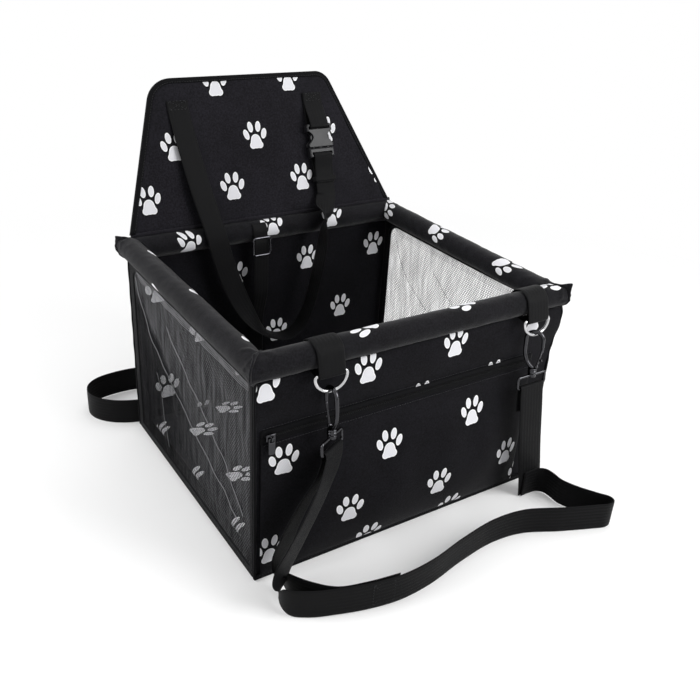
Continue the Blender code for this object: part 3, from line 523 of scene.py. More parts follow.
def stitch_row(path, out):
    """Stitches along a path: bent capsules whose ends dip into the cloth. out is the way off the cloth."""
    path = np.asarray(path, float)
    origins = even_points(path, stitch_pitch, stitch_pitch / 2)
    run = run_along(path)
    where = run_along(origins) + stitch_pitch / 2
    out = np.broadcast_to(np.asarray(out, float), path.shape)
    out = unit(np.stack([np.interp(where, run, out[:, axis]) for axis in range(3)], 1))
    ahead = ahead_of(origins)
    side = unit(np.cross(ahead, out))
    station = np.array([-1.0, -0.8, 0.0, 0.8, 1.0])
    fat = np.array([0.35, 0.9, 1.0, 0.9, 0.35]) * stitch_thick / 2
    dip = station[:, None] ** 4 * stitch_thick * 0.55
    turn = whole_turn(6)
    rings = side_by_side(station[:, None] * stitch_length / 2, fat[:, None] * np.cos(turn),
                         fat[:, None] * np.sin(turn) - dip)
    axes = np.stack([ahead, side, unit(np.cross(side, ahead))], 1)
    return repeated(skin(rings), origins + out * stitch_lift, axes)


def stitch_box(centre, across, along, width, height):
    """A rectangle of stitches with a cross in it, on cloth whose outside is across times along."""
    centre, across, along = np.array(centre), unit(across), unit(along)
    out = np.cross(across, along)
    corners = [centre + across * width / 2 * a + along * height / 2 * b
               for a, b in ((-1, -1), (1, -1), (1, 1), (-1, 1))]
    lines = [(0, 1), (1, 2), (2, 3), (3, 0), (0, 2), (1, 3)]
    return joined([stitch_row(straight(corners[a], corners[b], 10), out) for a, b in lines])


# Materials

class Term:
    """A number from a node tree's socket, which takes part in sums as a number does."""

    def __init__(self, tree, socket):
        self.tree = tree
        self.socket = socket

    def do(self, operation, *others):
        node = self.tree.nodes.new("ShaderNodeMath")
        node.operation = operation
        for socket, value in zip(node.inputs, (self, *others)):
            if isinstance(value, Term):
                self.tree.links.new(value.socket, socket)
            else:
                socket.default_value = value
        return Term(self.tree, node.outputs[0])

    def __add__(self, other):
        return self.do("ADD", other)

    def __sub__(self, other):
        return self.do("SUBTRACT", other)

    def __mul__(self, other):
        return self.do("MULTIPLY", other)

    def __truediv__(self, other):
        return self.do("DIVIDE", other)

    def length(self, other):
        return (self * self + other * other).do("SQRT")

    def step(self, low, high):
        """Nought at low, one at high, and straight between."""
        node = self.tree.nodes.new("ShaderNodeMapRange")
        node.clamp = True
        self.tree.links.new(self.socket, node.inputs["Value"])
        node.inputs["From Min"].default_value = low
        node.inputs["From Max"].default_value = high
        return Term(self.tree, node.outputs["Result"])

    def into(self, socket):
        self.tree.links.new(self.socket, socket)


def toned(colour, share):
    """A colour made darker or lighter."""
    return tuple(part * share for part in colour)


def uv_terms(tree, layer):
    """The two numbers of a map."""
    node = tree.nodes.new("ShaderNodeUVMap")
    node.uv_map = layer
    split = tree.nodes.new("ShaderNodeSeparateXYZ")
    tree.links.new(node.outputs["UV"], split.inputs[0])
    return Term(tree, split.outputs["X"]), Term(tree, split.outputs["Y"])


def noise(tree, scale, detail=2.0):
    """Uneven noise from nought to one, on the object's own places."""
    node = tree.nodes.new("ShaderNodeTexNoise")
    node.inputs["Scale"].default_value = scale
    node.inputs["Detail"].default_value = detail
    source = tree.nodes.new("ShaderNodeTexCoord")
    tree.links.new(source.outputs["Object"], node.inputs["Vector"])
    return Term(tree, node.outputs["Fac"])


def mixed(tree, share, first, second):
    """A colour between two colours or colour sockets."""
    node = tree.nodes.new("ShaderNodeMix")
    node.data_type = "RGBA"
    tree.links.new(share.socket, node.inputs["Factor"])
    for socket, value in ((node.inputs[6], first), (node.inputs[7], second)):
        if isinstance(value, tuple):
            socket.default_value = (*value, 1.0)
        else:
            tree.links.new(value, socket)
    return node.outputs[2]


def new_material(name, roughness, metallic=0.0, sheen=0.0, sheen_roughness=0.5, specular=0.5):
    """A Principled material with its constant values set on its own sockets."""
    made = bpy.data.materials.new(name)
    made.use_nodes = True
    shader = made.node_tree.nodes["Principled BSDF"]
    for socket, value in (("Roughness", roughness), ("Metallic", metallic), ("Sheen Weight", sheen),
                          ("Sheen Roughness", sheen_roughness), ("Specular IOR Level", specular)):
        shader.inputs[socket].default_value = value
    return made, made.node_tree, shader


def bump(tree, shader, height, distance, strength=1.0):
    """Raise the surface by height times distance."""
    node = tree.nodes.new("ShaderNodeBump")
    node.inputs["Distance"].default_value = distance
    node.inputs["Strength"].default_value = strength
    height.into(node.inputs["Height"])
    tree.links.new(node.outputs["Normal"], shader.inputs["Normal"])


def finish(tree, shader, colour, rough, height, distance, strength):
    """Give a material its colour, its roughness and its raised surface."""
    tree.links.new(colour, shader.inputs["Base Color"])
    rough.into(shader.inputs["Roughness"])
    bump(tree, shader, height, distance, strength)


def paw_group():
    """A node group: how far outside the paw a point of the print map lies, in millimetres, negative inside.

    The pad is three circles melted together, and the toes are four leaning ovals. The left half mirrors
    the right one.
    """
    tree = bpy.data.node_groups.new("paw", "ShaderNodeTree")
    tree.interface.new_socket("Distance", in_out="OUTPUT", socket_type="NodeSocketFloat")
    x, y = uv_terms(tree, "print")
    x = (x * 1000.0).do("ABSOLUTE")
    y = y * 1000.0 + 8.1
    found = x.length(y - 3.0) - 6.4
    for centre_x, centre_y, radius in ((5.0, -4.1, 4.3), (0.0, -0.7, 7.5)):
        found = found.do("SMOOTH_MIN", (x - centre_x).length(y - centre_y) - radius, 1.6)
    for centre_x, centre_y, lean in ((12.2, 9.6, 18.0), (5.4, 18.6, 8.0)):
        s, c = math.sin(math.radians(lean)), math.cos(math.radians(lean))
        off_x, off_y = x - centre_x, y - centre_y
        along = (off_x * s + off_y * c) / 6.6
        across = (off_x * c - off_y * s) / 3.6
        found = found.do("MINIMUM", (across.length(along) - 1.0) * 4.4)
    out = tree.nodes.new("NodeGroupOutput")
    found.into(out.inputs[0])
    return tree


paw = paw_group()


def printed_cloth(name, base, sheen=0.05):
    """Plain-woven fabric with paws: white rim, pale hatched middle, thin black edge, threads as bump."""
    made, tree, shader = new_material(name, 0.62, sheen=sheen, sheen_roughness=0.45, specular=0.045)
    group = tree.nodes.new("ShaderNodeGroup")
    group.node_tree = paw
    away = Term(tree, group.outputs["Distance"])
    u, v = uv_terms(tree, "cloth")
    thread_pitch, hatch_pitch = 0.00052, 0.0009
    thread = (u * (math.pi / thread_pitch)).do("SINE") * (v * (math.pi / thread_pitch)).do("SINE")
    patches = noise(tree, 22.0, 3.0)
    grain = (patches * 0.35 + noise(tree, 520.0, 1.0) * 0.65).step(0.36, 0.66)
    dark = mixed(tree, grain, toned(base, 0.25), toned(base, 2.1))
    dark = mixed(tree, thread.step(-1.2, 1.6), toned(base, 0.55), dark)
    hatch = ((u + v) * (math.pi / hatch_pitch)).do("SINE")
    inside = mixed(tree, hatch.step(-1.0, 1.0), (0.66, 0.66, 0.69), (0.76, 0.76, 0.79))
    white = mixed(tree, away.step(-0.95, -0.65), inside, (0.88, 0.88, 0.89))
    edged = mixed(tree, away.step(0.95, 1.25), (0.0006, 0.0006, 0.0008), dark)
    colour = mixed(tree, away.step(-0.12, 0.12), white, edged)
    rough = away.step(-0.1, 0.1) * 0.14 + 0.50 + patches * 0.06
    raised = away.step(0.15, -0.15) * 0.5 + thread * 0.35 + noise(tree, 700.0, 2.0) * 0.9
    finish(tree, shader, colour, rough, raised, 0.00016, 0.9)
    return made


def ribbed_cloth(name, base, pitch, across_pitch, sheen=0.05):
    """Ribbed tape: fine ribs across its run, crossed by finer threads, uneven in tone."""
    made, tree, shader = new_material(name, 0.6, sheen=sheen, sheen_roughness=0.4, specular=0.04)
    u, v = uv_terms(tree, "cloth")
    ribs = (u * (math.pi / pitch)).do("SINE").do("ABSOLUTE")
    threads = (v * (math.pi / across_pitch)).do("SINE").do("ABSOLUTE")
    patches = noise(tree, 60.0, 3.0)
    tone = mixed(tree, (ribs * 0.6 + patches * 0.5).step(0.1, 0.95), toned(base, 0.55), toned(base, 1.35))
    finish(tree, shader, tone, patches * 0.14 + 0.52, ribs + threads * 0.4, 0.00016, 0.7)
    return made


def herringbone_web(name, base):
    """Nylon webbing: columns along the strap whose slanting ribs turn the other way in each next column."""
    made, tree, shader = new_material(name, 0.46, sheen=0.03, sheen_roughness=0.35, specular=0.06)
    u, v = uv_terms(tree, "cloth")
    column_width, rib_pitch = 0.0022, 0.00125
    column = (v / column_width).do("PINGPONG", 1.0)
    slant = (u / rib_pitch + column * 1.9) * math.pi
    ribs = slant.do("SINE").do("ABSOLUTE")
    groove = (v * (math.pi / column_width)).do("SINE").do("ABSOLUTE").step(-0.9, 0.3)
    patches = noise(tree, 45.0, 3.0)
    worn = (ribs * groove * 0.5 + patches * 0.6).step(0.1, 1.0)
    tone = mixed(tree, worn, toned(base, 0.6), toned(base, 1.4))
    finish(tree, shader, tone, patches * 0.16 + 0.38, ribs * groove, 0.00018, 0.7)
    return made


def net_cloth(name, shaded):
    """Black net: round holes in rows offset by half. Painted shade makes its tone darker towards its bottom,
    and when shaded, painted shade also makes it darker behind its first pressed fold.
    """
    made, tree, shader = new_material(name, 0.55, specular=0.02)
    u, v = uv_terms(tree, "cloth")
    across, up = 0.0032, 0.0027
    holes = []
    for move in (0.0, 0.5):
        off_u = ((u / across + move).do("FRACT") - 0.5) * (across * 1000)
        off_v = ((v / (2 * up) + move).do("FRACT") - 0.5) * (2 * up * 1000)
        holes.append(off_u.length(off_v))
    away = holes[0].do("MINIMUM", holes[1])
    drape = tree.nodes.new("ShaderNodeCombineXYZ")
    (u * 170.0).into(drape.inputs["X"])
    (v * 24.0).into(drape.inputs["Y"])
    streaks = tree.nodes.new("ShaderNodeTexNoise")
    streaks.inputs["Scale"].default_value = 1.0
    tree.links.new(drape.outputs[0], streaks.inputs["Vector"])
    streak = Term(tree, streaks.outputs["Fac"])
    cover = (away + (streak - 0.5) * 0.7).step(1.30, 1.46)
    # Painted shade: the net's tone falls to half towards its bottom edge.
    share = (noise(tree, 700.0, 2.0) * 0.6 + streak * 0.4) * (v.step(0.0, 0.17) * 0.5 + 0.5)
    # Painted shade behind the first pressed fold.
    if shaded:
        behind = (v - u * 0.62).step(0.116, 0.106) * u.step(-0.06, 0.05)
        share = share * (behind * -0.85 + 1.0)
    tone = mixed(tree, share, (0.010, 0.010, 0.011), (0.230, 0.230, 0.240))
    tree.links.new(tone, shader.inputs["Base Color"])
    bump(tree, shader, cover, 0.0002, 0.6)
    clear = tree.nodes.new("ShaderNodeBsdfTransparent")
    mix = tree.nodes.new("ShaderNodeMixShader")
    cover.into(mix.inputs[0])
    tree.links.new(clear.outputs[0], mix.inputs[1])
    tree.links.new(shader.outputs[0], mix.inputs[2])
    tree.links.new(mix.outputs[0], tree.nodes["Material Output"].inputs["Surface"])
    return made


def plated_metal(name, base, worn, roughness):
    """Plated metal: a clean plate with fine scratches, and paler where it is rubbed."""
    made, tree, shader = new_material(name, roughness, metallic=1.0)
    rubbed = noise(tree, 180.0, 4.0)
    tone = mixed(tree, rubbed.step(0.60, 0.85), base, worn)
    finish(tree, shader, tone, rubbed * 0.12 + roughness - 0.05, noise(tree, 1400.0), 0.00003, 0.5)
    return made


def moulded_plastic(name, base, roughness):
    """Moulded plastic: a fine grain, and slow changes of tone and gloss."""
    made, tree, shader = new_material(name, roughness, specular=0.25)
    patches = noise(tree, 90.0, 3.0)
    tone = mixed(tree, patches, toned(base, 0.8), toned(base, 1.25))
    finish(tree, shader, tone, patches * 0.12 + roughness - 0.06, noise(tree, 1800.0), 0.00004, 0.6)
    return made


print_fabric = printed_cloth("printed_fabric", (0.0064, 0.0062, 0.0080))
# Painted light: the flap's copy of the printed fabric has a lighter base than the walls' one, for its face
# that catches more of the lamps.
flap_fabric_painted_lit = printed_cloth("printed_flap_fabric_painted_lit", (0.0118, 0.0111, 0.0145), 0.10)
# Painted light: the rim sleeves' copy of the printed fabric has a lighter base than the walls' one, for their
# lit tops.
rim_fabric_painted_lit = printed_cloth("printed_rim_fabric_painted_lit", (0.0082, 0.0080, 0.0098), 0.12)
tape_fabric = ribbed_cloth("binding_tape", (0.0042, 0.0042, 0.0048), 0.0009, 0.0006)
board_fabric = ribbed_cloth("board_cover", (0.008, 0.008, 0.009), 0.0011, 0.0011)
strap_fabric = herringbone_web("webbing", (0.0046, 0.0046, 0.0050))
left_net_fabric = net_cloth("left_net_cloth", True)
right_net_fabric = net_cloth("right_net_cloth", False)
thread = ribbed_cloth("thread", (0.0240, 0.0240, 0.0260), 0.0004, 0.0003, 0.2)
chrome = plated_metal("chrome", (0.55, 0.55, 0.56), (0.42, 0.42, 0.43), 0.08)
nickel = plated_metal("black_nickel", (0.050, 0.050, 0.054), (0.12, 0.12, 0.13), 0.10)
slide_metal = plated_metal("dark_steel", (0.09, 0.09, 0.10), (0.16, 0.16, 0.17), 0.16)
coil_plastic = moulded_plastic("zip_coil_plastic", (0.006, 0.006, 0.0065), 0.5)
# The net's fold threads are pale: painted highlight along the net's pressed folds and gathers.
fold_highlight_thread = ribbed_cloth("net_fold_highlight_thread", (0.240, 0.240, 0.250), 0.0012, 0.0006, 0.2)
plastic = moulded_plastic("black_plastic", (0.0085, 0.0085, 0.0100), 0.36)
tube_finish = moulded_plastic("white_tube", (0.70, 0.70, 0.68), 0.5)


# Straps and cords: the routes repeat those of the part's source

sideways = (1, 0, 0)
downward = (0, 0, -1)
strap_height = web_width / 2 + gap


def clip_frame(x):
    """The frame of a clip: X along the ring's bar, -Z down the clip, from the bar's middle."""
    bar = shift(x, -rim_y - loop_bar_reach * math.cos(loop_drop),
                rim_height - loop_bar_reach * math.sin(loop_drop))
    return bar @ about("X", -clip_tilt)


def flap_place(x=0.0, rise=0.0, out=0.0):
    """A place on the leaning flap: across, up the flap, and out of its front face."""
    return shift(0.0, rim_y, hinge_height) @ about("X", -flap_lean) @ shift(x, -out, rise)


def flap_point(x, rise, out):
    """The same place as three numbers."""
    return tuple(flap_place(x, rise, out).translation)


def eye_frame_of(place, turn, scale):
    """The frame of a clip's strap eye, at the middle of its upper side."""
    drop = (hook_base - (collar_length + gap + barrel_length / 2)) * scale
    return place @ about("Z", turn) @ shift(z=drop)


def in_frame(place, rows):
    """Rows of a strap given in a frame, as rows in the world."""
    return [(place @ Vector(point), place.to_3x3() @ Vector(across)) for point, across in rows]


def rows_at(place, rows):
    """Rows of a strap in the upright plane of a frame, with the strap's width sideways."""
    return in_frame(place, [((0, y, z), sideways) for y, z in rows])


def bar_turn(place, wire_radius):
    """Rows of a strap that hangs from a bar at a frame's origin: up behind it, over it and down in front."""
    reach = wire_radius + half_ply
    turn = [tuple(point) for point in arc((0, 0), reach, 0, math.pi, 6)]
    leads = [reach * share for share in (3.0, 1.6, 0.7)]
    leads_home = [(-reach, -lead) for lead in reversed(leads)]
    return rows_at(place, [(reach, -lead) for lead in leads] + turn + leads_home)


def buckle_turn(place, slot, away, scale):
    """Rows of a strap that goes through a buckle's slot, from behind it to in front."""
    half = buckle_thickness / 2 * scale
    out = half + half_ply + gap / 3
    rows = [(out, slot + away * (buckle_slot / 2 * scale + web_thickness)),
            (out - gap / 3, slot + away * buckle_slot / 4), (half - gap, slot)]
    return rows_at(place, rows + [(0, slot)] + [(-y, z) for y, z in reversed(rows)])


def between(first, last, share):
    """A direction between two directions."""
    return tuple(a + (b - a) * share for a, b in zip(first, last))


left_clip = clip_frame(left_clip_x)
right_clip = clip_frame(right_clip_x)
left_eye_bar = eye_frame_of(left_clip, left_eye_turn, 1.0) @ shift(z=-eye_height)
right_eye_bar = eye_frame_of(right_clip, 0.0, 1.0) @ shift(z=-eye_height)

carry_route_lap = [(-0.0740, -0.2632), (-0.1098, -0.2574), (-0.1395, -0.2484), (-0.1580, -0.2310)]
carry_route_rise = [(-0.1690, -0.2130, 0.0182, 0.05), (-0.1725, -0.1990, 0.0230, 0.25),
                    (-0.1740, -0.1925, 0.0390, 0.55), (-0.1630, -0.1905, 0.0660, 0.75),
                    (-0.1440, -0.1895, 0.1000, 0.92), (-0.1235, -0.1890, 0.1300, 1.0)]
carry_route_fall = [(-0.1235, -0.1975, 0.1300, 1.0), (-0.1410, -0.2030, 0.1000, 0.92),
                    (-0.1630, -0.2060, 0.0640, 0.75), (-0.1800, -0.2085, 0.0380, 0.55),
                    (-0.1870, -0.2160, 0.0230, 0.25), (-0.1825, -0.2290, 0.0182, 0.05)]
carry_route_floor = [(-0.1660, -0.2410), (-0.1400, -0.2512), (-0.1100, -0.2602), (-0.0740, -0.2660),
                     (-0.0330, -0.2635), (0.0175, -0.2525), (0.0685, -0.2455), (0.1100, -0.2500),
                     (0.1520, -0.2690), (0.1900, -0.2845), (0.2060, -0.2900), (0.2140, -0.2880),
                     (0.2155, -0.2810), (0.2080, -0.2690), (0.1955, -0.2480), (0.1885, -0.2290),
                     (0.1890, -0.2150), (0.1875, -0.2050), (0.1810, -0.1992), (0.1700, -0.1980),
                     (0.1580, -0.1980)]
drop_route = [(0.1512, -0.1945, 0.1300), (0.1545, -0.1962, 0.1000), (0.1605, -0.1964, 0.0650),
              (0.1670, -0.1960, 0.0350), (0.1705, -0.1958, 0.0160), (0.1725, -0.1958, 0.0030)]
drop_tail = 0.030
head_route_flap = [(-0.1020, 0.1495, 0.0031), (-0.1020, 0.1415, 0.0032), (-0.1003, 0.1115, 0.0060),
                   (-0.0960, 0.0665, 0.0100), (-0.0905, 0.0265, 0.0125)]
head_route_hang = [(-0.0825, 0.1475, 0.2560, 0.0), (-0.0755, 0.1445, 0.2250, 0.0),
                   (-0.0640, 0.1430, 0.1900, 0.0), (-0.0490, 0.1410, 0.1550, 0.2),
                   (-0.0300, 0.1380, 0.1260, 0.5), (-0.0110, 0.1360, 0.1085, 0.85),
                   (0.0100, 0.1350, 0.1030, 1.0), (0.0300, 0.1350, 0.1120, 1.0),
                   (0.0450, 0.1355, 0.1370, 1.0), (0.0540, 0.1355, 0.1700, 1.0),
                   (0.0605, 0.1350, 0.2050, 1.0), (0.0650, 0.1345, 0.2380, 0.9),
                   (0.0690, 0.1395, 0.2620, 0.6)]
head_route_end = [(0.0780, 0.0065, 0.0118), (0.0836, 0.0160, 0.0087), (0.0840, 0.0235, 0.0085),
                  (0.0840, 0.0325, 0.0085), (0.0840, 0.0415, 0.0085)]
tail_route_shares = ((0.50, 0.20), (0.16, 0.40), (0.0, 0.58), (0.04, 0.84), (0.22, 1.0))
tail_length = 0.033
tether_route = [(0.1480, 0.2440), (0.1464, 0.2380), (0.1462, 0.2250), (0.1462, 0.2050), (0.1462, 0.1850),
                (0.1468, 0.1660), (0.1520, 0.1480), (0.1580, 0.1280), (0.1600, 0.1050), (0.1600, 0.0750),
                (0.1575, 0.0520), (0.1490, 0.0340), (0.1360, 0.0250), (0.1220, 0.0234)]
tether_clip_foot = 0.098
tether_tail = 0.022
tether_sewn_turns = np.radians([38, 60, 80])
seat_route_left = [(-0.1150, 0.1691), (-0.1450, 0.1691), (-0.1720, 0.1700), (-0.1980, 0.1760),
                   (-0.2200, 0.1880), (-0.2350, 0.2050), (-0.2395, 0.2230), (-0.2340, 0.2400),
                   (-0.2200, 0.2515), (-0.1980, 0.2570), (-0.1680, 0.2570), (-0.1320, 0.2500)]
seat_route_rise = [(-0.0980, 0.2430, 0.5), (-0.0720, 0.2395, 0.95)]
seat_route_right = [(0.0380, 0.2300, 1.0), (0.0620, 0.2250, 0.7), (0.0900, 0.2130, 0.2),
                    (0.1150, 0.1985, 0.0), (0.1360, 0.1850, 0.0), (0.1540, 0.1745, 0.0),
                    (0.1680, 0.1700, 0.0), (0.1840, 0.1691, 0.0)]
seat_lap_length = 0.034
seat_buckle_place = (-0.005, 0.232)
head_buckle_frame = flap_place(head_buckle_x, head_buckle_rise, head_buckle_out)
buckle_lie = buckle_width / 2 * large_scale + gap
seat_buckle_frame = (shift(*seat_buckle_place, buckle_lie)
                     @ Matrix(((0, 0, -1, 0), (0, 1, 0, 0), (1, 0, 0, 0), (0, 0, 0, 1))))
low_slot = male_foot + buckle_bar + buckle_slot / 2
high_slot = buckle_length - buckle_bar - buckle_slot / 2
anchor_top = 0.1435
flap_surface = 0.002
tail_ply = 0.0019
keeper_drop = 0.041
keeper_half_width = 0.0156
keeper_half_depth = 0.0037


def strap_piece(name, rows, width, body=None):
    """A strap that stands for its own node."""
    piece = sewn(name + "_web", web(rows, width), strap_fabric, body, "webbing", name)
    route = smooth_route([(*place, *across) for place, across in rows], strap_steps)[:, :3]
    return piece


def make_carry_strap():
    """The carry strap, doubled at the left eye and run along the seat, and the drop strap that it joins."""
    left_across = left_eye_bar.to_3x3() @ Vector(sideways)

    def leaning(route):
        return [((x, y, z), between(downward, left_across, share)) for x, y, z, share in route]

    def standing(route):
        return [((x, y, strap_height), downward) for x, y in route]

    rows = standing(carry_route_lap) + leaning(carry_route_rise) + bar_turn(left_eye_bar, eye_wire)
    rows += leaning(carry_route_fall) + standing(carry_route_floor)
    carry = strap_piece("carry_strap", rows[::-1], web_width)
    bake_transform(carry)
    tail = rows_at(right_eye_bar, [(eye_wire + half_ply, -drop_tail * share) for share in (1.0, 0.5)])
    rows = tail + bar_turn(right_eye_bar, eye_wire) + [(place, sideways) for place in drop_route]
    drop = strap_piece("drop_strap", rows, web_width)
    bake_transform(drop)


def make_head_strap():
    """The headrest strap: the long loop, the doubled tail at its buckle and the sewn anchor."""
    depth = (0, 1, 0)
    rows = [(flap_point(x, rise, out), sideways) for x, rise, out in head_route_flap]
    rows += [((x, y, z), between(sideways, depth, share)) for x, y, z, share in head_route_hang]
    rows += [(flap_point(x, rise, out), sideways) for x, rise, out in head_route_end]
    strap = strap_piece("head_strap", rows, head_web_width)
    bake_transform(strap)
    out = buckle_thickness / 2 + half_ply
    half = [(tail_ply + (out - tail_ply) * near, male_foot - tail_length * far)
            for near, far in tail_route_shares]
    rows = rows_at(head_buckle_frame, half[::-1]) + buckle_turn(head_buckle_frame, low_slot, -1, 1.0)
    rows += rows_at(head_buckle_frame, [(-y, z) for y, z in half])
    strap_piece("head_tail", rows, head_web_width, "head_plug")
    bar_high = head_buckle_rise + buckle_length
    run = anchor_top + web_thickness * 4 - bar_high
    seat = flap_surface + half_ply
    lap = seat + web_thickness + gap

    def anchor_rows(shares):
        return [(flap_point(head_buckle_x, bar_high + run * rise, depth), sideways) for rise, depth in shares]

    rows = anchor_rows([(1.0, seat), (0.5, seat), (0.0, head_buckle_out - out)])
    rows += buckle_turn(head_buckle_frame, high_slot, 1, 1.0)
    rows += anchor_rows([(0.12, head_buckle_out + out * 0.8), (0.45, head_buckle_out - out * 0.1),
                         (0.72, lap), (1.0, lap)])
    strap_piece("head_anchor", rows, head_web_width, "flap")


def tether_frame():
    """The frame of the tether's small clip, which lies on the pad."""
    eye_drop = collar_length + gap + barrel_length / 2 + eye_height - hook_base
    origin = shift(tether_x, tether_clip_foot - eye_drop * tether_scale,
                   pad_high + collar_radius * tether_scale + gap)
    return origin @ about("X", math.pi / 2)


def make_tether_strap():
    """The tether: round the back rim, down the back wall and to its small clip on the pad."""
    bar = eye_frame_of(tether_frame(), 0.0, tether_scale) @ shift(z=-eye_height * tether_scale)
    reach = rim_radius + half_ply
    rows = [((tether_x, rim_y - reach * math.sin(turn), rim_height + reach * math.cos(turn)), sideways)
            for turn in tether_sewn_turns]
    rows += [((tether_x, y, z), sideways) for y, z in tether_route]
    rows += bar_turn(bar, eye_wire * tether_scale)
    turn_reach = eye_wire * tether_scale + half_ply
    rows += rows_at(bar, [(-turn_reach, -tether_tail * share) for share in (0.6, 1.0)])
    strap_piece("tether_strap", rows, tether_web_width, "box")


def make_seat_strap():
    """The backrest strap: two lengths, which meet at a buckle behind the box."""
    lift = buckle_lie - strap_height
    out = buckle_thickness / 2 * large_scale + half_ply
    lap = web_thickness + gap
    bar_low, bar_high = male_foot * large_scale, buckle_length * large_scale
    past = web_thickness * 2.5

    def lying(route):
        return [((x, y, strap_height + lift * share), (0, 0, 1)) for x, y, share in route]

    def at_buckle(*places):
        return rows_at(seat_buckle_frame, places)

    rows = lying([(x, y, 0.0) for x, y in seat_route_left] + seat_route_rise)
    rows += at_buckle((out, bar_high + past), (out, bar_high))
    rows += buckle_turn(seat_buckle_frame, high_slot * large_scale, 1, large_scale)
    rows += at_buckle((-out, bar_high), (-out * 0.6, bar_high + seat_lap_length * 0.35),
                      (out - lap * 1.5, bar_high + seat_lap_length))
    strap_piece("seat_strap_left", rows, web_width, "box")
    rows = at_buckle((lap, bar_low - seat_lap_length), (out * 0.7, bar_low - seat_lap_length * 0.3),
                     (out, bar_low))
    rows += buckle_turn(seat_buckle_frame, low_slot * large_scale, -1, large_scale)
    rows += at_buckle((-out, bar_low), (-out, bar_low - past)) + lying(seat_route_right)
    right = strap_piece("seat_strap_right", rows[::-1], web_width)
    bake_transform(right)


def make_strap_stitches():
    """The boxes of stitches that hold the straps' sewn ends."""
    place = flap_place()
    boxes = []
    head_width, carry_width, carry_height = 0.021, 0.024, 0.026
    for x, rise, out, height in ((-0.1020, 0.1440, 0.0040, 0.010), (head_buckle_x, 0.1434, 0.0056, 0.009)):
        centre, across, along = placed(place, [(x, -out, rise), (x + 1, -out, rise), (x, -out, rise + 1)])
        boxes.append(stitch_box(centre, across - centre, along - centre, head_width, height))
    sewn("head_strap_stitches", joined(boxes), thread, "flap", "webbing")
    place, along = (-0.0930, -0.26405, strap_height), (0.036, -0.0058, 0.0)
    lap = stitch_box(place, along, (0, 0, 1), carry_width, carry_height)
    sewn("carry_strap_stitches", lap, thread, "box", "webbing")


make_carry_strap()
make_head_strap()
make_tether_strap()
make_seat_strap()
make_strap_stitches()


# Clips, rings and other hard pieces

def upright(outline):
    """An outline of x and z as places, all at depth nought."""
    return side_by_side(outline[:, 0], 0, outline[:, 1])


def hook_skins(place, turn, scale):
    """A swivel hook: a wire bent over from its collar, the grooved collar, and the pin's domed head."""
    half = hook_half_width
    foot_shares = ((0.0, 0.0), (0.55, 0.55), (1.0, 1.7))
    foot = [(-half * across, 0, hook_base + half * up) for across, up in foot_shares]
    spine = smooth_route(foot + [(-half, 0, hook_top - half)], 8)
    bend = upright(arc((0, hook_top - half), half, math.pi, 0, 24)[1:])
    tip = straight((half, 0, hook_top - half), (half, 0, hook_top - half - hook_nose), 6)[1:]
    path = np.vstack([spine, bend, tip]) * scale
    run = run_along(path) / run_along(path)[-1]
    radius = hook_wire * scale * (1 + 0.10 * np.sin(math.pi * run) ** 2 - 0.16 * ease(run, 0.86, 1.0))
    stand = place @ about("Z", math.pi / 2 + turn)
    collar = [(1.2, 0.9), (2.6, 0.7), (4.4, 0.1), (5.0, -0.5), (5.0, -1.9), (4.5, -2.2), (4.5, -2.6),
              (5.0, -2.9), (5.0, -5.2), (4.5, -5.9), (1.9, -6.0), (1.8, -6.2), (1.8, -10.6), (2.7, -10.7),
              (2.6, -11.2), (1.6, -11.6), (0.4, -11.7)]
    collar = (np.array(collar) * millimetre + (0, hook_base)) * scale
    hook = wire(placed(stand, path), radius, direction(stand, (0, 1, 0)), sides=20)
    return [hook, turned(collar, stand, 28)]


def gate_skins(place, turn, scale):
    """The sprung gate: a thin lever from its knuckle to the hook's nose, with a thumb stud."""
    nose = hook_top - hook_half_width - hook_nose
    stand = place @ about("Z", math.pi / 2 + turn)
    low = np.array([hook_half_width * 0.45, 0, hook_base + knuckle_radius + gap]) * scale
    high = np.array([hook_half_width, 0, nose - gap - gate_wire * 1.6]) * scale
    path = straight(low, high, 12)
    share = np.linspace(0, 1, len(path))
    radius = gate_wire * scale * (0.85 + 0.35 * ease(share, 0.75, 1.0))
    lever = wire(placed(stand, path), radius, direction(stand, (0, 1, 0)), sides=14)
    knuckle = [(0.5, -2.0), (1.6, -1.9), (1.8, -1.6), (1.8, 1.6), (1.6, 1.9), (0.5, 2.0)]
    pivot = stand @ shift(*low) @ about("X", math.pi / 2)
    stud = [(1.3, -0.6), (1.2, 1.0), (1.5, 1.3), (1.5, 1.9), (1.1, 2.2), (0.3, 2.25)]
    stud_at = low + (high - low) * 0.38 + np.array([0.0014, 0, 0]) * scale
    stud_frame = stand @ shift(*stud_at) @ about("Y", math.pi / 2)
    return [lever, turned(np.array(knuckle) * millimetre * scale, pivot, 20),
            turned(np.array(stud) * millimetre * scale, stud_frame, 16)]


def eye_skins(eye_frame, scale):
    """The strap eye: a rounded rectangle of wire, with a bored barrel in the middle of its upper side."""
    corner = 0.0030 * scale
    outline = rounded_rectangle(eye_width / 2 * scale, -eye_height * scale, 0, corner)
    path = placed(eye_frame, upright(filled_in(outline, part_counts(outline, 0.0015))))
    barrel = [(2.1, -2.1), (4.2, -2.1), (4.6, -1.7), (4.6, 1.7), (4.2, 2.1), (2.1, 2.1)]
    return [wire(path, eye_wire * scale, direction(eye_frame, (0, 1, 0)), True),
            turned(np.array(barrel) * millimetre * scale, eye_frame, 28, True)]


def make_clip(side, place, hook_turn, eye_turn, scale, bodies):
    """A clip's hook, gate and eye, each riding on its own body."""
    hook_body, gate_body, eye_body = bodies
    eye_frame = eye_frame_of(place, eye_turn, scale)
    for part, skins, body in (("hook", hook_skins(place, hook_turn, scale), hook_body),
                              ("gate", gate_skins(place, hook_turn, scale), gate_body),
                              ("eye", eye_skins(eye_frame, scale), eye_body)):
        sewn(f"{side}_{part}_cast", joined(skins), nickel, body, "dark_metal", f"{side}_{part}")


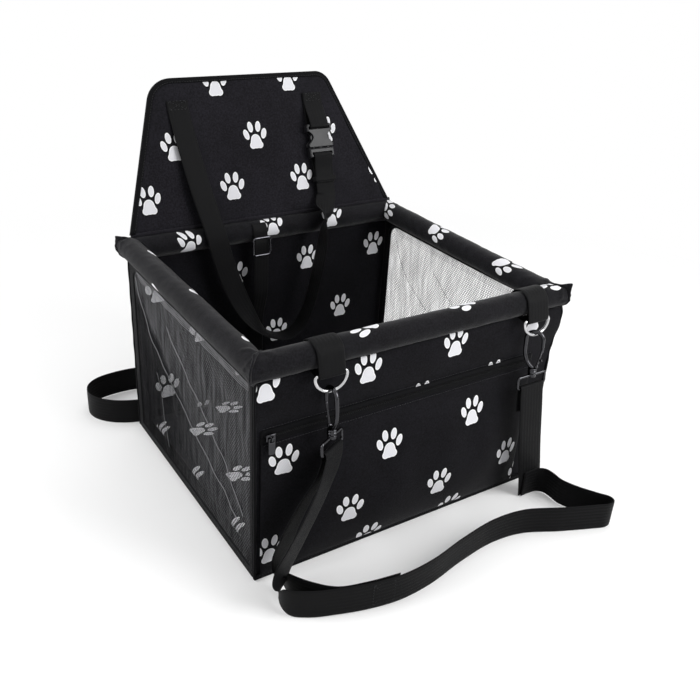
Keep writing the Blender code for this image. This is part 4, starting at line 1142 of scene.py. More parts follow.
def make_ring(side, place):
    """The chrome ring, D-shaped with softened shoulders."""
    leg = ring_drop - ring_half_width
    shoulder = 0.0024
    bend = arc((0, -leg - shoulder), ring_half_width, 0, -math.pi, 40)
    bend[:, 1] = bend[:, 1] * (ring_drop - shoulder - leg) / ring_half_width + shoulder * 0.3
    corner = arc((ring_half_width - shoulder, -shoulder), shoulder, math.pi / 2, 0, 6)
    outline = np.vstack([corner, bend, corner[::-1] * (-1, 1)])
    outline = outline[np.r_[True, np.linalg.norm(np.diff(outline, axis=0), axis=1) > 1e-5]]
    outline = np.vstack([outline, straight(outline[-1], outline[0], 16)[1:-1]])
    ring = wire(placed(place, upright(outline)), ring_wire, direction(place, (0, 1, 0)), True, 20)
    sewn(f"ring_{side}_polished", ring, chrome, f"{side}_ring", "chrome", f"d_ring_{side}")


def make_ring_loop(side, x):
    """The webbing loop that holds a ring on the rim, and its seam.

    Seen from the side it is an arc round the rim, an arc round the ring's bar, and the two straight runs
    between them.
    """
    loop_slack, loop_thickness, seam_reach = 0.0004, 0.0016, 0.0062
    big = rim_radius + half_ply + loop_slack
    small = ring_wire + half_ply
    aim = math.pi + loop_drop
    swing = math.acos((big - small) / loop_bar_reach)
    middle = np.array([-rim_y, rim_height])
    bar = middle + loop_bar_reach * np.array([math.cos(aim), math.sin(aim)])
    over = arc(middle, big, aim + swing, aim - swing + 2 * math.pi, 44)
    under = arc(bar, small, aim - swing, aim + swing, 12)
    run_down = straight(over[-1], under[0], 10)[1:-1]
    run_up = straight(under[-1], over[0], 10)[1:-1]
    rows = [((x, y, z), sideways) for y, z in np.vstack([over, run_down, under, run_up])]
    loop = web(rows, loop_width, loop_thickness, loop=True)
    sewn(f"loop_{side}_web", loop, strap_fabric, "box", "webbing", f"ring_loop_{side}")
    toward = unit(middle - bar)
    square = np.array([-toward[1], toward[0]])
    seam_at = bar + (toward + square) * seam_reach
    seam_half = loop_width / 2 - 0.002
    line = side_by_side(np.linspace(x - seam_half, x + seam_half, 12), *seam_at)
    sewn(f"loop_{side}_stitches", stitch_row(line, (0, *square)), thread, "box", "webbing")


for side, x, place in (("left", left_clip_x, left_clip), ("right", right_clip_x, right_clip)):
    make_ring(side, place)
    make_ring_loop(side, x)
for side, place, hook_turn, eye_turn in (("left", left_clip, 0.0, left_eye_turn),
                                         ("right", right_clip, right_hook_turn, 0.0)):
    bodies = (f"{side}_snap_hook", f"{side}_snap_gate", f"{side}_clip_eye")
    make_clip(side, place, hook_turn, eye_turn, 1.0, bodies)
make_clip("tether", tether_frame(), -math.pi / 2, 0.0, tether_scale, ("box", "tether_snap_gate", "box"))


def finer_copy(node, name, body, slot, material, width):
    """A copy of a hard part, its loose triangles merged and its edges rounded, which stands for the part."""
    same_place, flat_turn, sharp_turn = 0.000002, math.radians(1.0), math.radians(35)
    bm = bmesh.new()
    bm.from_mesh(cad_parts[node].data)
    bmesh.ops.remove_doubles(bm, verts=bm.verts, dist=same_place)
    bmesh.ops.dissolve_limit(bm, angle_limit=flat_turn, verts=bm.verts, edges=bm.edges)
    mesh = bpy.data.meshes.new(name)
    bm.to_mesh(mesh)
    bm.free()
    mesh.materials.append(material)
    mesh.shade_smooth()
    mesh.set_sharp_from_angle(angle=sharp_turn)
    piece = linked(name, mesh)
    bevel = piece.modifiers.new("edges", "BEVEL")
    bevel.width = width
    bevel.segments = 2
    bevel.limit_method = "ANGLE"
    bevel.angle_limit = sharp_turn
    bevel.use_clamp_overlap = True
    return kept(piece, body, slot, node)


def buckle_body(name, node, place, scale, body):
    """A buckle's outer half: waisted plates over the prongs, cheeks at its mouth, and a bar round its slot.

    The plates' half width follows a smooth curve through the widths given at heights above the mouth. All
    sizes are those of the small buckle, times the scale.
    """
    fine = 0.0006
    plate_top, plate_inside, plate_outside, plate_crown = 0.0234, 0.0029, 0.0046, 0.0003
    cheek_inside, cheek_outside, cheek_depth, cheek_low, cheek_high = 0.0146, 0.0181, 0.0042, 0.0002, 0.0046
    bridge_half, bridge_low, bridge_high, bridge_depth = 0.0160, 0.0207, 0.0233, 0.0044
    bar_half, bar_foot, bar_shoulder, bar_top, bar_curve = 0.0168, 0.0205, 0.0240, 0.0283, 0.0022
    plate_pitch, bar_width = 0.0012, 0.0090
    heights = np.array([0.0, 1.2, 4.0, 7.0, 11.0, 14.0, 17.0, 20.0, 22.0, 23.4]) * millimetre
    widths = np.array([17.0, 18.2, 18.3, 15.4, 11.8, 11.2, 12.6, 16.2, 18.1, 18.4]) * millimetre
    curve = smooth_line(zip(heights, widths), 8)
    rises = rows_between(0.0, plate_top, fine, fine)
    half = np.interp(rises, curve[:, 0], curve[:, 1])

    def crowned(side, depth):
        return lambda x, z: depth + side * plate_crown * (1 - (x / 0.018) ** 2)

    skins = []
    for side in (-1, 1):
        near, far = sorted((side * plate_outside, side * plate_inside))
        skins.append(panel(-half, half, rises, crowned(side, near), crowned(side, far), None, plate_pitch,
                           fine))
        edges = sorted((side * cheek_inside, side * cheek_outside))
        skins.append(panel(*edges, rows_between(cheek_low, cheek_high, fine, fine), level(-cheek_depth),
                           level(cheek_depth), None, fine, fine))
    skins.append(panel(-bridge_half, bridge_half, rows_between(bridge_low, bridge_high, fine, fine),
                       level(-bridge_depth), level(bridge_depth), None, plate_pitch, fine))
    centre = (bar_half - bar_curve, bar_top - bar_curve)
    corner = [(bar_half, bar_foot), (bar_half, bar_shoulder)]
    corner += arc(centre, bar_curve, 0, math.pi / 2, 6).tolist()
    bar = corner + [(0.0, bar_top)] + [(-x, z) for x, z in reversed(corner)]
    skins.append(web([((x, 0, z), (0, 1, 0)) for x, z in bar], bar_width, buckle_bar, 11))
    points, *faces = joined(skins)
    sewn(name, (placed(place, points * scale), *faces), plastic, body, "black_plastic", node)


buckle_body("head_buckle_body", "head_buckle_female", head_buckle_frame, 1.0, "flap")
finer_copy("head_buckle_male", "head_buckle_plug", "head_plug", "black_plastic", plastic, 0.0003)
buckle_body("seat_buckle_body", "seat_buckle_female", seat_buckle_frame, large_scale, "box")
finer_copy("seat_buckle_male", "seat_buckle_plug", "seat_plug", "black_plastic", plastic, 0.0003)


def make_slide():
    """The tether's slide: a frame of bent rod, and behind the strap a rod that its sides turn back to."""
    across, high, corner = 0.0119, 0.0117, 0.003
    leg_bend, leg_depth, leg_inset = 0.0036, 0.0047, 0.0012
    frame_radius, leg_radius = 0.0013, 0.0010
    centre = np.array([tether_x, 0.1438, 0.234])
    outline = rounded_rectangle(across, -high, high, corner)
    path = centre + upright(filled_in(outline, part_counts(outline, 0.002)))
    leg = [(-across, 0, 0), (-across, leg_bend, 0), (-across + leg_inset, leg_depth, 0)]
    legs = smooth_route(centre + (leg + [(-x, y, z) for x, y, z in reversed(leg)]), 6)
    skins = [wire(path, frame_radius, (0, 1, 0), True, 14), wire(legs, leg_radius, (0, 0, 1), sides=12)]
    sewn("tether_slide_cast", joined(skins), slide_metal, "tether_slide", "dark_metal", "tether_glide")


def make_keeper():
    """The keeper: a small flat loop of webbing round the doubled tail of the headrest strap."""
    width, thickness, corner = 0.006, 0.0009, 0.0012
    outline = rounded_rectangle(keeper_half_width, -keeper_half_depth, keeper_half_depth, corner, 5)
    rows = in_frame(head_buckle_frame @ shift(z=-keeper_drop), [((x, y, 0), (0, 0, 1)) for x, y in outline])
    loop = web(rows, width, thickness, loop=True)
    sewn("head_keeper_web", loop, strap_fabric, "head_plug", "webbing", "head_keeper")


make_slide()
finer_copy("zip_slider", "zip_slider_cast", "slider", "dark_metal", nickel, 0.0002)
finer_copy("zip_pull", "zip_pull_cast", "pull", "dark_metal", nickel, 0.0002)
make_keeper()


# Cloth panels

front_prints = [(-0.1795, 0.2325), (-0.0649, 0.2221), (0.0471, 0.2246), (0.1580, 0.2300), (-0.1594, 0.1440),
                (0.0080, 0.1690), (0.1090, 0.1695)]
pocket_prints = [(-0.0343, 0.1256), (0.0787, 0.1333), (-0.1594, 0.1440), (-0.0813, 0.0595), (0.0371, 0.0544),
                 (0.1411, 0.0591), (0.0651, 0.0060), (-0.0505, 0.0085), (0.1728, 0.0175), (-0.1734, 0.0360)]
back_prints = [(-0.0476, 0.1918), (0.0588, 0.1986), (0.1173, 0.1142), (0.0130, 0.0975), (0.1681, 0.2020),
               (-0.1000, 0.1220), (-0.1560, 0.1900), (-0.0420, 0.0560), (0.0640, 0.0500), (0.1700, 0.0450),
               (-0.1500, 0.0500), (-0.1000, -0.0050), (0.0100, -0.0050), (0.1200, -0.0050), (0.0200, 0.2600)]
flap_prints = [(-0.1580, 0.0370), (-0.1150, 0.0964), (-0.0465, 0.0420), (-0.0046, 0.1015), (0.0537, 0.0435),
               (0.0990, 0.1000), (-0.0485, 0.1690), (0.0532, 0.1700), (0.1760, 0.0400), (-0.1450, 0.1560)]


def flat_wave(seed, amount, length):
    """A wavy depth over a panel."""
    return lambda x, z: amount * ripple(x, z, seed, length)


def edge_distance(x, z, left, right, low, high):
    """How far a place lies inside the nearest of four edges."""
    return np.minimum(np.minimum(x - left, right - x), np.minimum(z - low, high - z))


def bell(away, width):
    """One in the middle, dying away to nought over a few widths."""
    return np.exp(-(away / width) ** 2)


def flare(z):
    """How far the front right corner bulges outward: a bell below the rim, on a low step up the wall."""
    peak_height, peak_reach, step_reach, pucker = 0.218, 0.0090, 0.0055, 0.0006
    peak = peak_reach * bell(z - peak_height, np.where(z > peak_height, 0.030, 0.020))
    return peak + step_reach * ease(z, 0.02, 0.15) + pucker * np.sin(z * 310) * ease(z, 0.15, 0.19)


def flared(part, side):
    """A side's skin: the right one is pushed out where the front right corner bulges."""
    points = part[0]
    if side > 0:
        points[:, 0] += flare(points[:, 2]) * np.exp(-np.abs(points[:, 1] + side_half) / 0.045)
    return part


def ridge(u, v, line, height, width):
    """A pressed fold along a line of points: the height dies away from it like a bell of that width."""
    line = smooth_line(line, 24)
    away = np.sqrt((u[..., None] - line[:, 0]) ** 2 + (v[..., None] - line[:, 1]) ** 2).min(-1)
    return height * bell(away, width)


def make_walls():
    """The front and back walls, thin padded panels that wave a little, and the piping of the corners."""
    slack_low, slack_depth, wall_pitch = 0.187, 0.0024, 0.004
    piping_low, piping_rows, piping_radius, piping_uneven = 0.002, 90, 0.0016, 0.0002
    wave = flat_wave(3, 0.0005, 0.09)
    wave_back = flat_wave(4, 0.0007, 0.10)

    def slack(x, z):
        band_share = np.clip((z - slack_low) / (wall_top - slack_low), 0, 1)
        return slack_depth * np.sin(math.pi * band_share) * (0.7 + 0.3 * ripple(x, z * 0.3, 5, 0.12))

    def front_face(x, z):
        under_zip = 0.0006 * ease(zip_height - z, 0, 0.01)
        return -half_depth + 0.0004 + under_zip + wave(x, z) * 0.6 - slack(x, z)

    rises = rows_between(0.0, wall_top, wall_pitch)
    front = panel(-half_width, half_width + flare(rises), rises, front_face,
                  lambda x, z: -half_depth + wall + wave(x, z) - slack(x, z) * 0.5)
    piece = sewn("front_panel", front, print_fabric, "box", "printed_fabric", "front_wall",
                 prints=front_prints)
    back = panel(-half_width, half_width, rises, lambda x, z: half_depth - wall + wave_back(x, z),
                 lambda x, z: half_depth + wave_back(x, z) * 0.6)
    piece = sewn("back_panel", back, print_fabric, "box", "printed_fabric", "back_wall", prints=back_prints)
    skins = []
    rises = np.linspace(piping_low, wall_top, piping_rows)
    for x in (-half_width, half_width):
        for y in (-half_depth, half_depth):
            bulging = flare(rises) * (1.0 if x > 0 > y else 0.0)
            uneven = piping_radius + piping_uneven * np.sin(rises * 190 + x * 40 + y * 30)
            path = side_by_side(x * 0.9965 + bulging, y * 0.996, rises)
            skins.append(wire(path, uneven, (0, 1, 0), sides=12))
    sewn("corner_piping", joined(skins), tape_fabric, "box", "plain_fabric")


def side_outline():
    """The binding's outer and inner outlines on a side, in depth and height, point for point alike."""
    front_edge, back_edge = -side_half + 0.007, side_half - 0.013
    low_edge, high_edge = 0.012, wall_top - 0.0055
    small_curve, outer_curve, back_curve = 0.0015, 0.002, 0.016
    outer = rounded_rectangle(side_half, 0, wall_top, outer_curve, 8)
    inner = rounded_outline([(front_edge, low_edge, small_curve), (back_edge, low_edge, small_curve),
                             (back_edge, high_edge, back_curve), (front_edge, high_edge, small_curve)], 8)
    outer, inner = np.vstack([outer, outer[:1]]), np.vstack([inner, inner[:1]])
    counts = part_counts(outer, 0.006)
    return filled_in(outer, counts)[:-1], filled_in(inner, counts)[:-1]


net_folds = [[(0.146, 0.220), (0.108, 0.166), (0.046, 0.130), (-0.023, 0.097), (-0.073, 0.077),
              (-0.128, 0.050)],
             [(0.052, 0.196), (-0.007, 0.158), (-0.042, 0.142), (-0.066, 0.127), (-0.098, 0.107),
              (-0.142, 0.066)],
             [(0.090, 0.118), (0.073, 0.082), (0.058, 0.030)]]
net_fold_radii = (0.00034, 0.00034, 0.0002)
net_fold_height = 0.0011
net_fold_width = 0.0020
net_pitch = 0.0028
net_half_thickness = 0.0002
net_thread_lift = 0.0003
gather_top = 0.0072
gather_step = 0.0019
gather_radius = 0.00022
side_inset = 0.0012
side_tape_thickness = 0.0030
side_stitch_share = 0.78


def make_side(name, side, net_fabric, seed):
    """A see-through side: a net with pressed folds and gathered threads, in a bound, stitched frame. The
    threads along the folds and gathers are pale: painted highlight on the creases.
    """
    place = Matrix(((0, side, 0, side * (half_width - side_inset)), (1, 0, 0, 0), (0, 0, 1, 0), (0, 0, 0, 1)))
    out = np.array([side, 0, 0])
    outer, inner = side_outline()
    edge = flared(band(outer, inner, side_tape_thickness, 0.0, place), side)
    sewn(f"{name}_edge_tape", edge, tape_fabric, "box", "plain_fabric", f"{name}_binding")
    near, far, low, high = -side_half + 0.004, side_half - 0.010, 0.0085, wall_top - 0.0030
    wave = flat_wave(seed, 0.0006, 0.05)
    tall = flat_wave(seed + 1, 0.0006, 0.022)

    def depth(y, z):
        found = wave(y, z) + tall(y, z * 0.12)
        for line in net_folds:
            found = found + ridge(y, z, line, net_fold_height, net_fold_width)
        return found * ease(edge_distance(y, z, near, far, low, high), 0.0, 0.02)

    def net_thread(y, z, radius, sides):
        path = side_by_side(y, depth(y, z) + net_thread_lift, z)
        return flared(wire(placed(place, path), radius, out, sides=sides), side)

    net = panel(near, far, rows_between(low, high, net_pitch), lambda y, z: depth(y, z) - net_half_thickness,
                lambda y, z: depth(y, z) + net_half_thickness, place, net_pitch)
    piece = sewn(f"{name}_net", flared(net, side), net_fabric, "box", "mesh_fabric", f"{name}_mesh")
    # Threads along the folds and gathers, in pale material: painted highlight on the creases.
    threads = []
    for line, radius in zip(net_folds, net_fold_radii):
        threads.append(net_thread(*smooth_line(line, 10).T, radius, 8))
    for row in range(5):
        y = np.linspace(0.146 - 0.004 * row, -0.153, 90)
        z = wall_top - gather_top - gather_step * row + 0.0004 * np.sin(y * 90 + row)
        threads.append(net_thread(y, z, gather_radius, 6))
    sewn(f"{name}_net_threads", joined(threads), fold_highlight_thread, "box", "mesh_fabric")
    middle = outer * (1 - side_stitch_share) + inner * side_stitch_share
    middle = np.vstack([middle, middle[:1]])
    skins = []
    for face in (1, -1):
        line = side_by_side(middle[:, 0], face * side_tape_thickness / 2, middle[:, 1])
        skins.append(stitch_row(placed(place, line), out * face))
    sewn(f"{name}_edge_stitches", flared(joined(skins), side), thread, "box", "plain_fabric")


# A rim sleeve's pleats at each corner: where each starts and ends round the rim, its length and height
corner_pleats = ((1.75, 1.05, 0.021, 0.0012), (1.50, 0.10, 0.013, 0.0009), (0.30, 0.55, 0.017, 0.0008),
                 (-0.60, -0.25, 0.015, 0.0009))
pleat_width = 0.0016
sleeve_inset = 0.0004
slow_lump = 0.00022
small_lump = 0.00020
gather_depth = 0.0030
gather_reach = 0.016
seam_ridge = 0.0020
seam_groove = 0.0006
fold_spare = 0.0002


def pressed(radius, under_fold, spare):
    """A radius kept that much under the rim's own, where the folded flap lies on it."""
    return radius - under_fold * np.clip(radius - rim_radius + spare, 0, None)


def make_sleeve(name, half_length, reach, quarter, prints, seed):
    """A padded rim sleeve: a tube of cloth with a sewn ridge below, gathered ends and mitred corners.

    The radius is the rim's, plus slow lumps, plus pleats that die away from the corners. Where the folded
    flap lies on it, the top is kept under the rim's radius. Each line along the sleeve is stretched so that
    it ends on the corner's slanting plane.
    """
    count, around = 170, 64
    t = np.linspace(-1, 1, count)[:, None]
    phi = np.linspace(-math.pi / 2, 3 * math.pi / 2, around + 1)[None, :]
    u = t * half_length
    girth = (phi + math.pi / 2) * rim_radius
    ends = np.exp(-(half_length - np.abs(u)) / gather_reach)
    closed = phi[:, :-1]
    draw = np.random.default_rng(seed)
    wide_u = np.broadcast_to(u, (count, around))
    wide_turn = closed * rim_radius + np.zeros((count, 1))
    radius = rim_radius - sleeve_inset + slow_lump * ripple(wide_u, wide_turn * 0.6, seed, 0.075)
    radius = radius + small_lump * ripple(wide_u, wide_turn, seed + 7, 0.018) * (0.6 + ends)
    for waves in (5, 9):
        start = draw.uniform(0, 6.28)
        gathers = np.sin(waves * closed + start + 25 * np.abs(u))
        radius = radius + ends ** 1.5 * (gather_depth / waves) * gathers
    for end in (-1, 1):
        for start_turn, end_turn, length, height in corner_pleats:
            tip = half_length + 0.010 * math.cos(start_turn)
            turns = np.array([start_turn, (start_turn + end_turn) / 2 + 0.12, end_turn]) + math.pi / 2
            line = zip(end * (tip - length * np.array([0, 0.5, 1])), turns * rim_radius)
            pleat = ridge(wide_u, wide_turn + math.pi / 2 * rim_radius, line, height, pleat_width)
            radius = radius + pleat * draw.uniform(0.6, 1.2)
    seam = np.minimum(np.abs(closed + math.pi / 2), np.abs(closed - 3 * math.pi / 2))
    radius = radius + seam_ridge * bell(seam, 0.15) - seam_groove * bell(seam - 0.33, 0.14)
    folded_on = {"front": 0 * u, "right": ease(u, 0.11, 0.14), "back": 1 + 0 * u,
                 "left": ease(-u, 0.11, 0.14)}[name]
    radius = pressed(radius, folded_on * np.exp(-((closed - math.pi / 2) / 0.65) ** 4), fold_spare)
    x = t * (half_length + radius * np.cos(closed) - 0.0001)
    rings = side_by_side(x, -reach - radius * np.cos(closed), rim_height + radius * np.sin(closed))
    turn = about("Z", quarter * math.pi / 2)
    sleeve = skin(placed(turn, rings), side_by_side(u, girth))
    piece = sewn(f"rim_{name}_padding", sleeve, rim_fabric_painted_lit, "box", "printed_fabric", f"rim_sleeve_{name}",
                 prints=prints)
    column = int(around * 0.115)
    out = direction(turn, (0, -math.cos(phi[0, column]), math.sin(phi[0, column])))
    row = placed(turn, rings[8:-8, column])
    sewn(f"rim_{name}_stitches", stitch_row(row, out), thread, "box", "printed_fabric")
    if name == "left":
        low = rings[3:-3, int(around * 0.085)]
        uneven = 0.0011 + 0.0003 * np.sin(low[:, 0] * 210) * np.sin(low[:, 0] * 67)
        piping = wire(placed(turn, low), uneven, (0, 0, 1), sides=10)
        sewn("rim_left_piping", piping, tape_fabric, "box", "plain_fabric")


def make_corner(name, side_x, side_y, tuft_at, tuft, seed):
    """The seam where two sleeves meet: a puckered fin in the corner's slanting plane, with a pointed tuft.

    At each turn about the rim the section is an oval from inside the sleeve out to the fin's edge. The edge
    lies a little beyond the sleeve, further at the tuft, and the fin waves out of its plane as it leaves the
    sleeve. At the back its top is kept under the rim's radius, where the folded flap lies on it.
    """
    fin_reach, fin_lump, fin_root, fin_wave = 0.0011, 0.0005, 0.0022, 0.0009
    half_thickness, tuft_thickness, wave_reach = 0.0011, 0.0004, 0.004
    phi, around = whole_turn(120), whole_turn(14)
    draw = np.random.default_rng(seed)
    lumps = sum(np.sin(k * phi + draw.uniform(0, 6.28)) for k in (5, 9, 16)) / 3
    away = (phi - tuft_at + math.pi) % (2 * math.pi) - math.pi
    far = rim_radius + fin_reach + fin_lump * lumps + tuft * np.exp(-np.abs(away / 0.22) ** 1.4)
    if side_y > 0:
        far = pressed(far, np.exp(-((phi - 1.72) / 0.48) ** 4), fold_spare / 2)
    near = rim_radius - fin_root
    middle, half = (far + near) / 2, (far - near) / 2
    spread = middle[:, None] + half[:, None] * np.cos(around)[None, :]
    flat = np.array([side_x, side_y, 0.0])
    radial = np.cos(phi)[:, None] * flat + np.sin(phi)[:, None] * np.array([0, 0, 1.0])
    normal = unit(np.array([side_x, -side_y, 0.0]))
    thick = half_thickness + tuft_thickness * bell(away, 0.6)
    beyond = np.clip((spread - rim_radius) / wave_reach, 0, 2)
    wave = fin_wave * np.sin(7 * phi + draw.uniform(0, 6.28))[:, None] * beyond
    off = thick[:, None] * np.sin(around)[None, :] + wave
    centre = np.array([side_x * rim_x, side_y * rim_y, rim_height])
    rings = centre + radial[:, None] * spread[..., None] + normal * off[..., None]
    sewn(f"rim_corner_{name}", skin(rings, None, True), rim_fabric_painted_lit, "box", "printed_fabric")


pocket_low = 0.006
pocket_high = 0.1687
pocket_pitch = 0.0035
pocket_bulge = 0.0115
pocket_thickness = 0.0016
hold_width = 0.02


def bulge(x, z):
    """How far the pocket stands out: fullest a third of the way up, flat at its edges, less at the strap."""
    rise = np.clip((z - pocket_low) / (pocket_high - pocket_low), 0, 1)
    up = (1 - rise) ** 1.3 * rise ** 0.75 / 0.26
    side = ease(x, zip_left, -0.02) * (1 - 0.45 * ease(x, 0.09, 0.155))
    return pocket_bulge * up * side * np.sqrt(np.clip((zip_right - x) / hold_width, 0, 1))


def make_pocket():
    """The slack front pocket."""
    wrinkle = flat_wave(11, 0.0007, 0.075)

    def depth(x, z):
        held = ease(edge_distance(x, z, zip_left, zip_right, pocket_low, pocket_high), 0.0, hold_width)
        return -half_depth - gap - bulge(x, z) + wrinkle(x, z) * held

    cloth = panel(zip_left, zip_right, rows_between(pocket_low, pocket_high, pocket_pitch),
                  lambda x, z: depth(x, z) - pocket_thickness, lambda x, z: depth(x, z) + gap / 3, None,
                  pocket_pitch)
    piece = sewn("pocket_cloth", cloth, print_fabric, "box", "printed_fabric", "front_pocket",
                 prints=pocket_prints)


def make_hems():
    """The taped hems along the bottom of the front and back walls."""
    low, high, thickness, lift = 0.0002, 0.0072, 0.0030, 0.0001
    hems = [level_tape(-half_width, half_width, low, high, thickness, y, 96)
            for y in (-half_depth - lift, half_depth + lift)]
    sewn("bottom_hems", joined(hems), tape_fabric, "box", "plain_fabric")


def make_zip():
    """The zip's two tapes, and its coil: a leaning capsule for each turn, above and below by turns."""
    tape_depth, tape_thickness, tape_low, tape_high = 0.0004, 0.0009, 0.1681, 0.1830
    tapes = [level_tape(zip_left, zip_right, low, high, tape_thickness, -half_depth - gap - tape_depth, 140)
             for low, high in ((tape_low, zip_height), (zip_height, tape_high))]
    sewn("zip_tapes", joined(tapes), tape_fabric, "box", "plain_fabric", "zip_tape")
    teeth, margin, spread, coil_depth = 300, 0.0045, 0.00065, 0.0017
    half_width_of_tooth, half_depth_of_tooth, half_length_of_tooth = 0.00042, 0.00050, 0.0011
    station = np.array([-1.0, -0.7, 0.7, 1.0])[:, None]
    fat = np.array([0.4, 1.0, 1.0, 0.4])[:, None]
    turn = whole_turn(8)
    tooth = side_by_side(fat * np.cos(turn) * half_width_of_tooth, fat * np.sin(turn) * half_depth_of_tooth,
                         station * half_length_of_tooth)
    lean = np.where(np.arange(teeth) % 2 == 0, 1.0, -1.0)
    origins = side_by_side(np.linspace(zip_left + margin, zip_right - margin, teeth),
                           -half_depth - coil_depth, zip_height + lean * spread)
    axes = np.tile(np.eye(3), (teeth, 1, 1))
    axes[:, 2] = unit(side_by_side(0.18 * lean, -0.25, 1.0))
    sewn("zip_coil", repeated(skin(tooth), origins, axes), coil_plastic, "box", "black_plastic", "zip_teeth")


def make_front_stitches():
    """The rows of stitches below and above the zip, and along the two hems."""
    points, zip_margin, hem_margin = 120, 0.002, 0.004
    low, high, hem = 0.1672, 0.1848, 0.0052
    low_lift, high_lift, hem_lift = 0.0024, 0.0004, 0.0016
    line = np.linspace(zip_left + zip_margin, zip_right - zip_margin, points)
    low_depth = -half_depth - gap - low_lift - bulge(line, low)
    rows = [stitch_row(side_by_side(line, low_depth, low), (0, -1, 0)),
            stitch_row(side_by_side(line, -half_depth - gap - high_lift, high), (0, -1, 0))]
    line = np.linspace(-half_width + hem_margin, half_width - hem_margin, points)
    for side in (-1, 1):
        rows.append(stitch_row(side_by_side(line, side * (half_depth + hem_lift), hem), (0, side, 0)))
    sewn("front_stitches", joined(rows), thread, "box", "plain_fabric")


def flap_side(inset, curve):
    """The flap's right side from the foot up and round to its flat top, inset, with that corner curve."""
    steps = 12
    slope = math.atan2(flap_foot_half - flap_head_half, flap_height)
    base = flap_foot_half - inset / math.cos(slope)
    top = flap_head_half - inset / math.cos(slope) + inset * math.tan(slope)
    foot_curve, head = 0.0001, flap_height - inset
    corners = [(-base, flap_foot, foot_curve), (base, flap_foot, foot_curve), (top, head, curve - inset),
               (-top, head, curve - inset)]
    top_right = slice(2 * (steps + 1), 3 * (steps + 1))
    return np.vstack([[base, flap_foot], rounded_outline(corners, steps)[top_right]])


def make_flap():
    """The flap: a padded panel in a bound edge, its stitching, and the roll of cloth at its fold."""
    place = flap_place()
    half_thickness, tape_half_thickness, tape_overlap = 0.0018, 0.0026, 0.002
    swell_height, stitch_share, stitch_low = 0.0006, 0.76, 0.003
    curves = (flap_round_left, flap_round)
    left, right = (flap_side(flap_binding_width - tape_overlap, curve) for curve in curves)
    rises = np.r_[0.0, 0.0004, np.linspace(panel_edge, left[1, 1], 40)[:-1], left[1:, 1], right[2:, 1]]
    rises = np.unique(np.round(rises, 6))
    reach_left, reach_right = (np.interp(rises, side[:, 1], side[:, 0]) for side in (left, right))
    lean = flap_skew * rises / flap_height
    wave = flat_wave(21, 0.0007, 0.11)
    fine = flat_wave(22, 0.00025, 0.035)

    def swell(x, z):
        up = np.clip(z / flap_height, 0, 1)
        return swell_height * np.sin(math.pi * up) + wave(x, z) * ease(up, 0, 0.12) + fine(x, z)

    cloth = panel(-reach_left + lean, reach_right + lean, rises,
                  lambda x, z: -half_thickness - swell(x, z) * 0.7,
                  lambda x, z: half_thickness - swell(x, z) * 0.7, place)
    piece = sewn("flap_padding", cloth, flap_fabric_painted_lit, "flap", "printed_fabric", "flap_panel",
                 prints=flap_prints)
    sides = []
    for inset in (0.0, flap_binding_width):
        left, right = (flap_side(inset, curve) for curve in curves)
        whole = np.vstack([right, left[::-1] * (-1, 1)])
        sides.append(whole + side_by_side(flap_skew * whole[:, 1] / flap_height, 0))
    counts = part_counts(sides[0], 0.005)
    outer, inner = (filled_in(side, counts) for side in sides)
    tape = band(outer, inner, 2 * tape_half_thickness, 0.0, place, False, 11)
    sewn("flap_edge_tape", tape, tape_fabric, "flap", "plain_fabric", "flap_binding")
    middle = outer * (1 - stitch_share) + inner * stitch_share
    middle = middle[middle[:, 1] > stitch_low]
    skins = []
    for side in (-1, 1):
        line = side_by_side(middle[:, 0], side * tape_half_thickness, middle[:, 1])
        skins.append(stitch_row(placed(place, line), direction(place, (0, side, 0))))
    sewn("flap_stitches", joined(skins), thread, "flap", "plain_fabric")
    roll_margin, roll_drop, roll_radius, roll_uneven = 0.004, 0.0011, 0.0031, 0.0002
    across = np.linspace(-flap_foot_half + roll_margin, flap_foot_half - roll_margin, 90)
    path = side_by_side(across, rim_y, hinge_height - roll_drop)
    radius = roll_radius + roll_uneven * np.sin(across * 150)
    sewn("flap_fold_roll", wire(path, radius, (0, 0, 1), sides=18), flap_fabric_painted_lit, "box", "printed_fabric")


def vertex_places(mesh):
    """The places of a mesh's vertices, one row each."""
    points = np.zeros(len(mesh.vertices) * 3)
    mesh.vertices.foreach_get("co", points)
    return points.reshape(-1, 3)


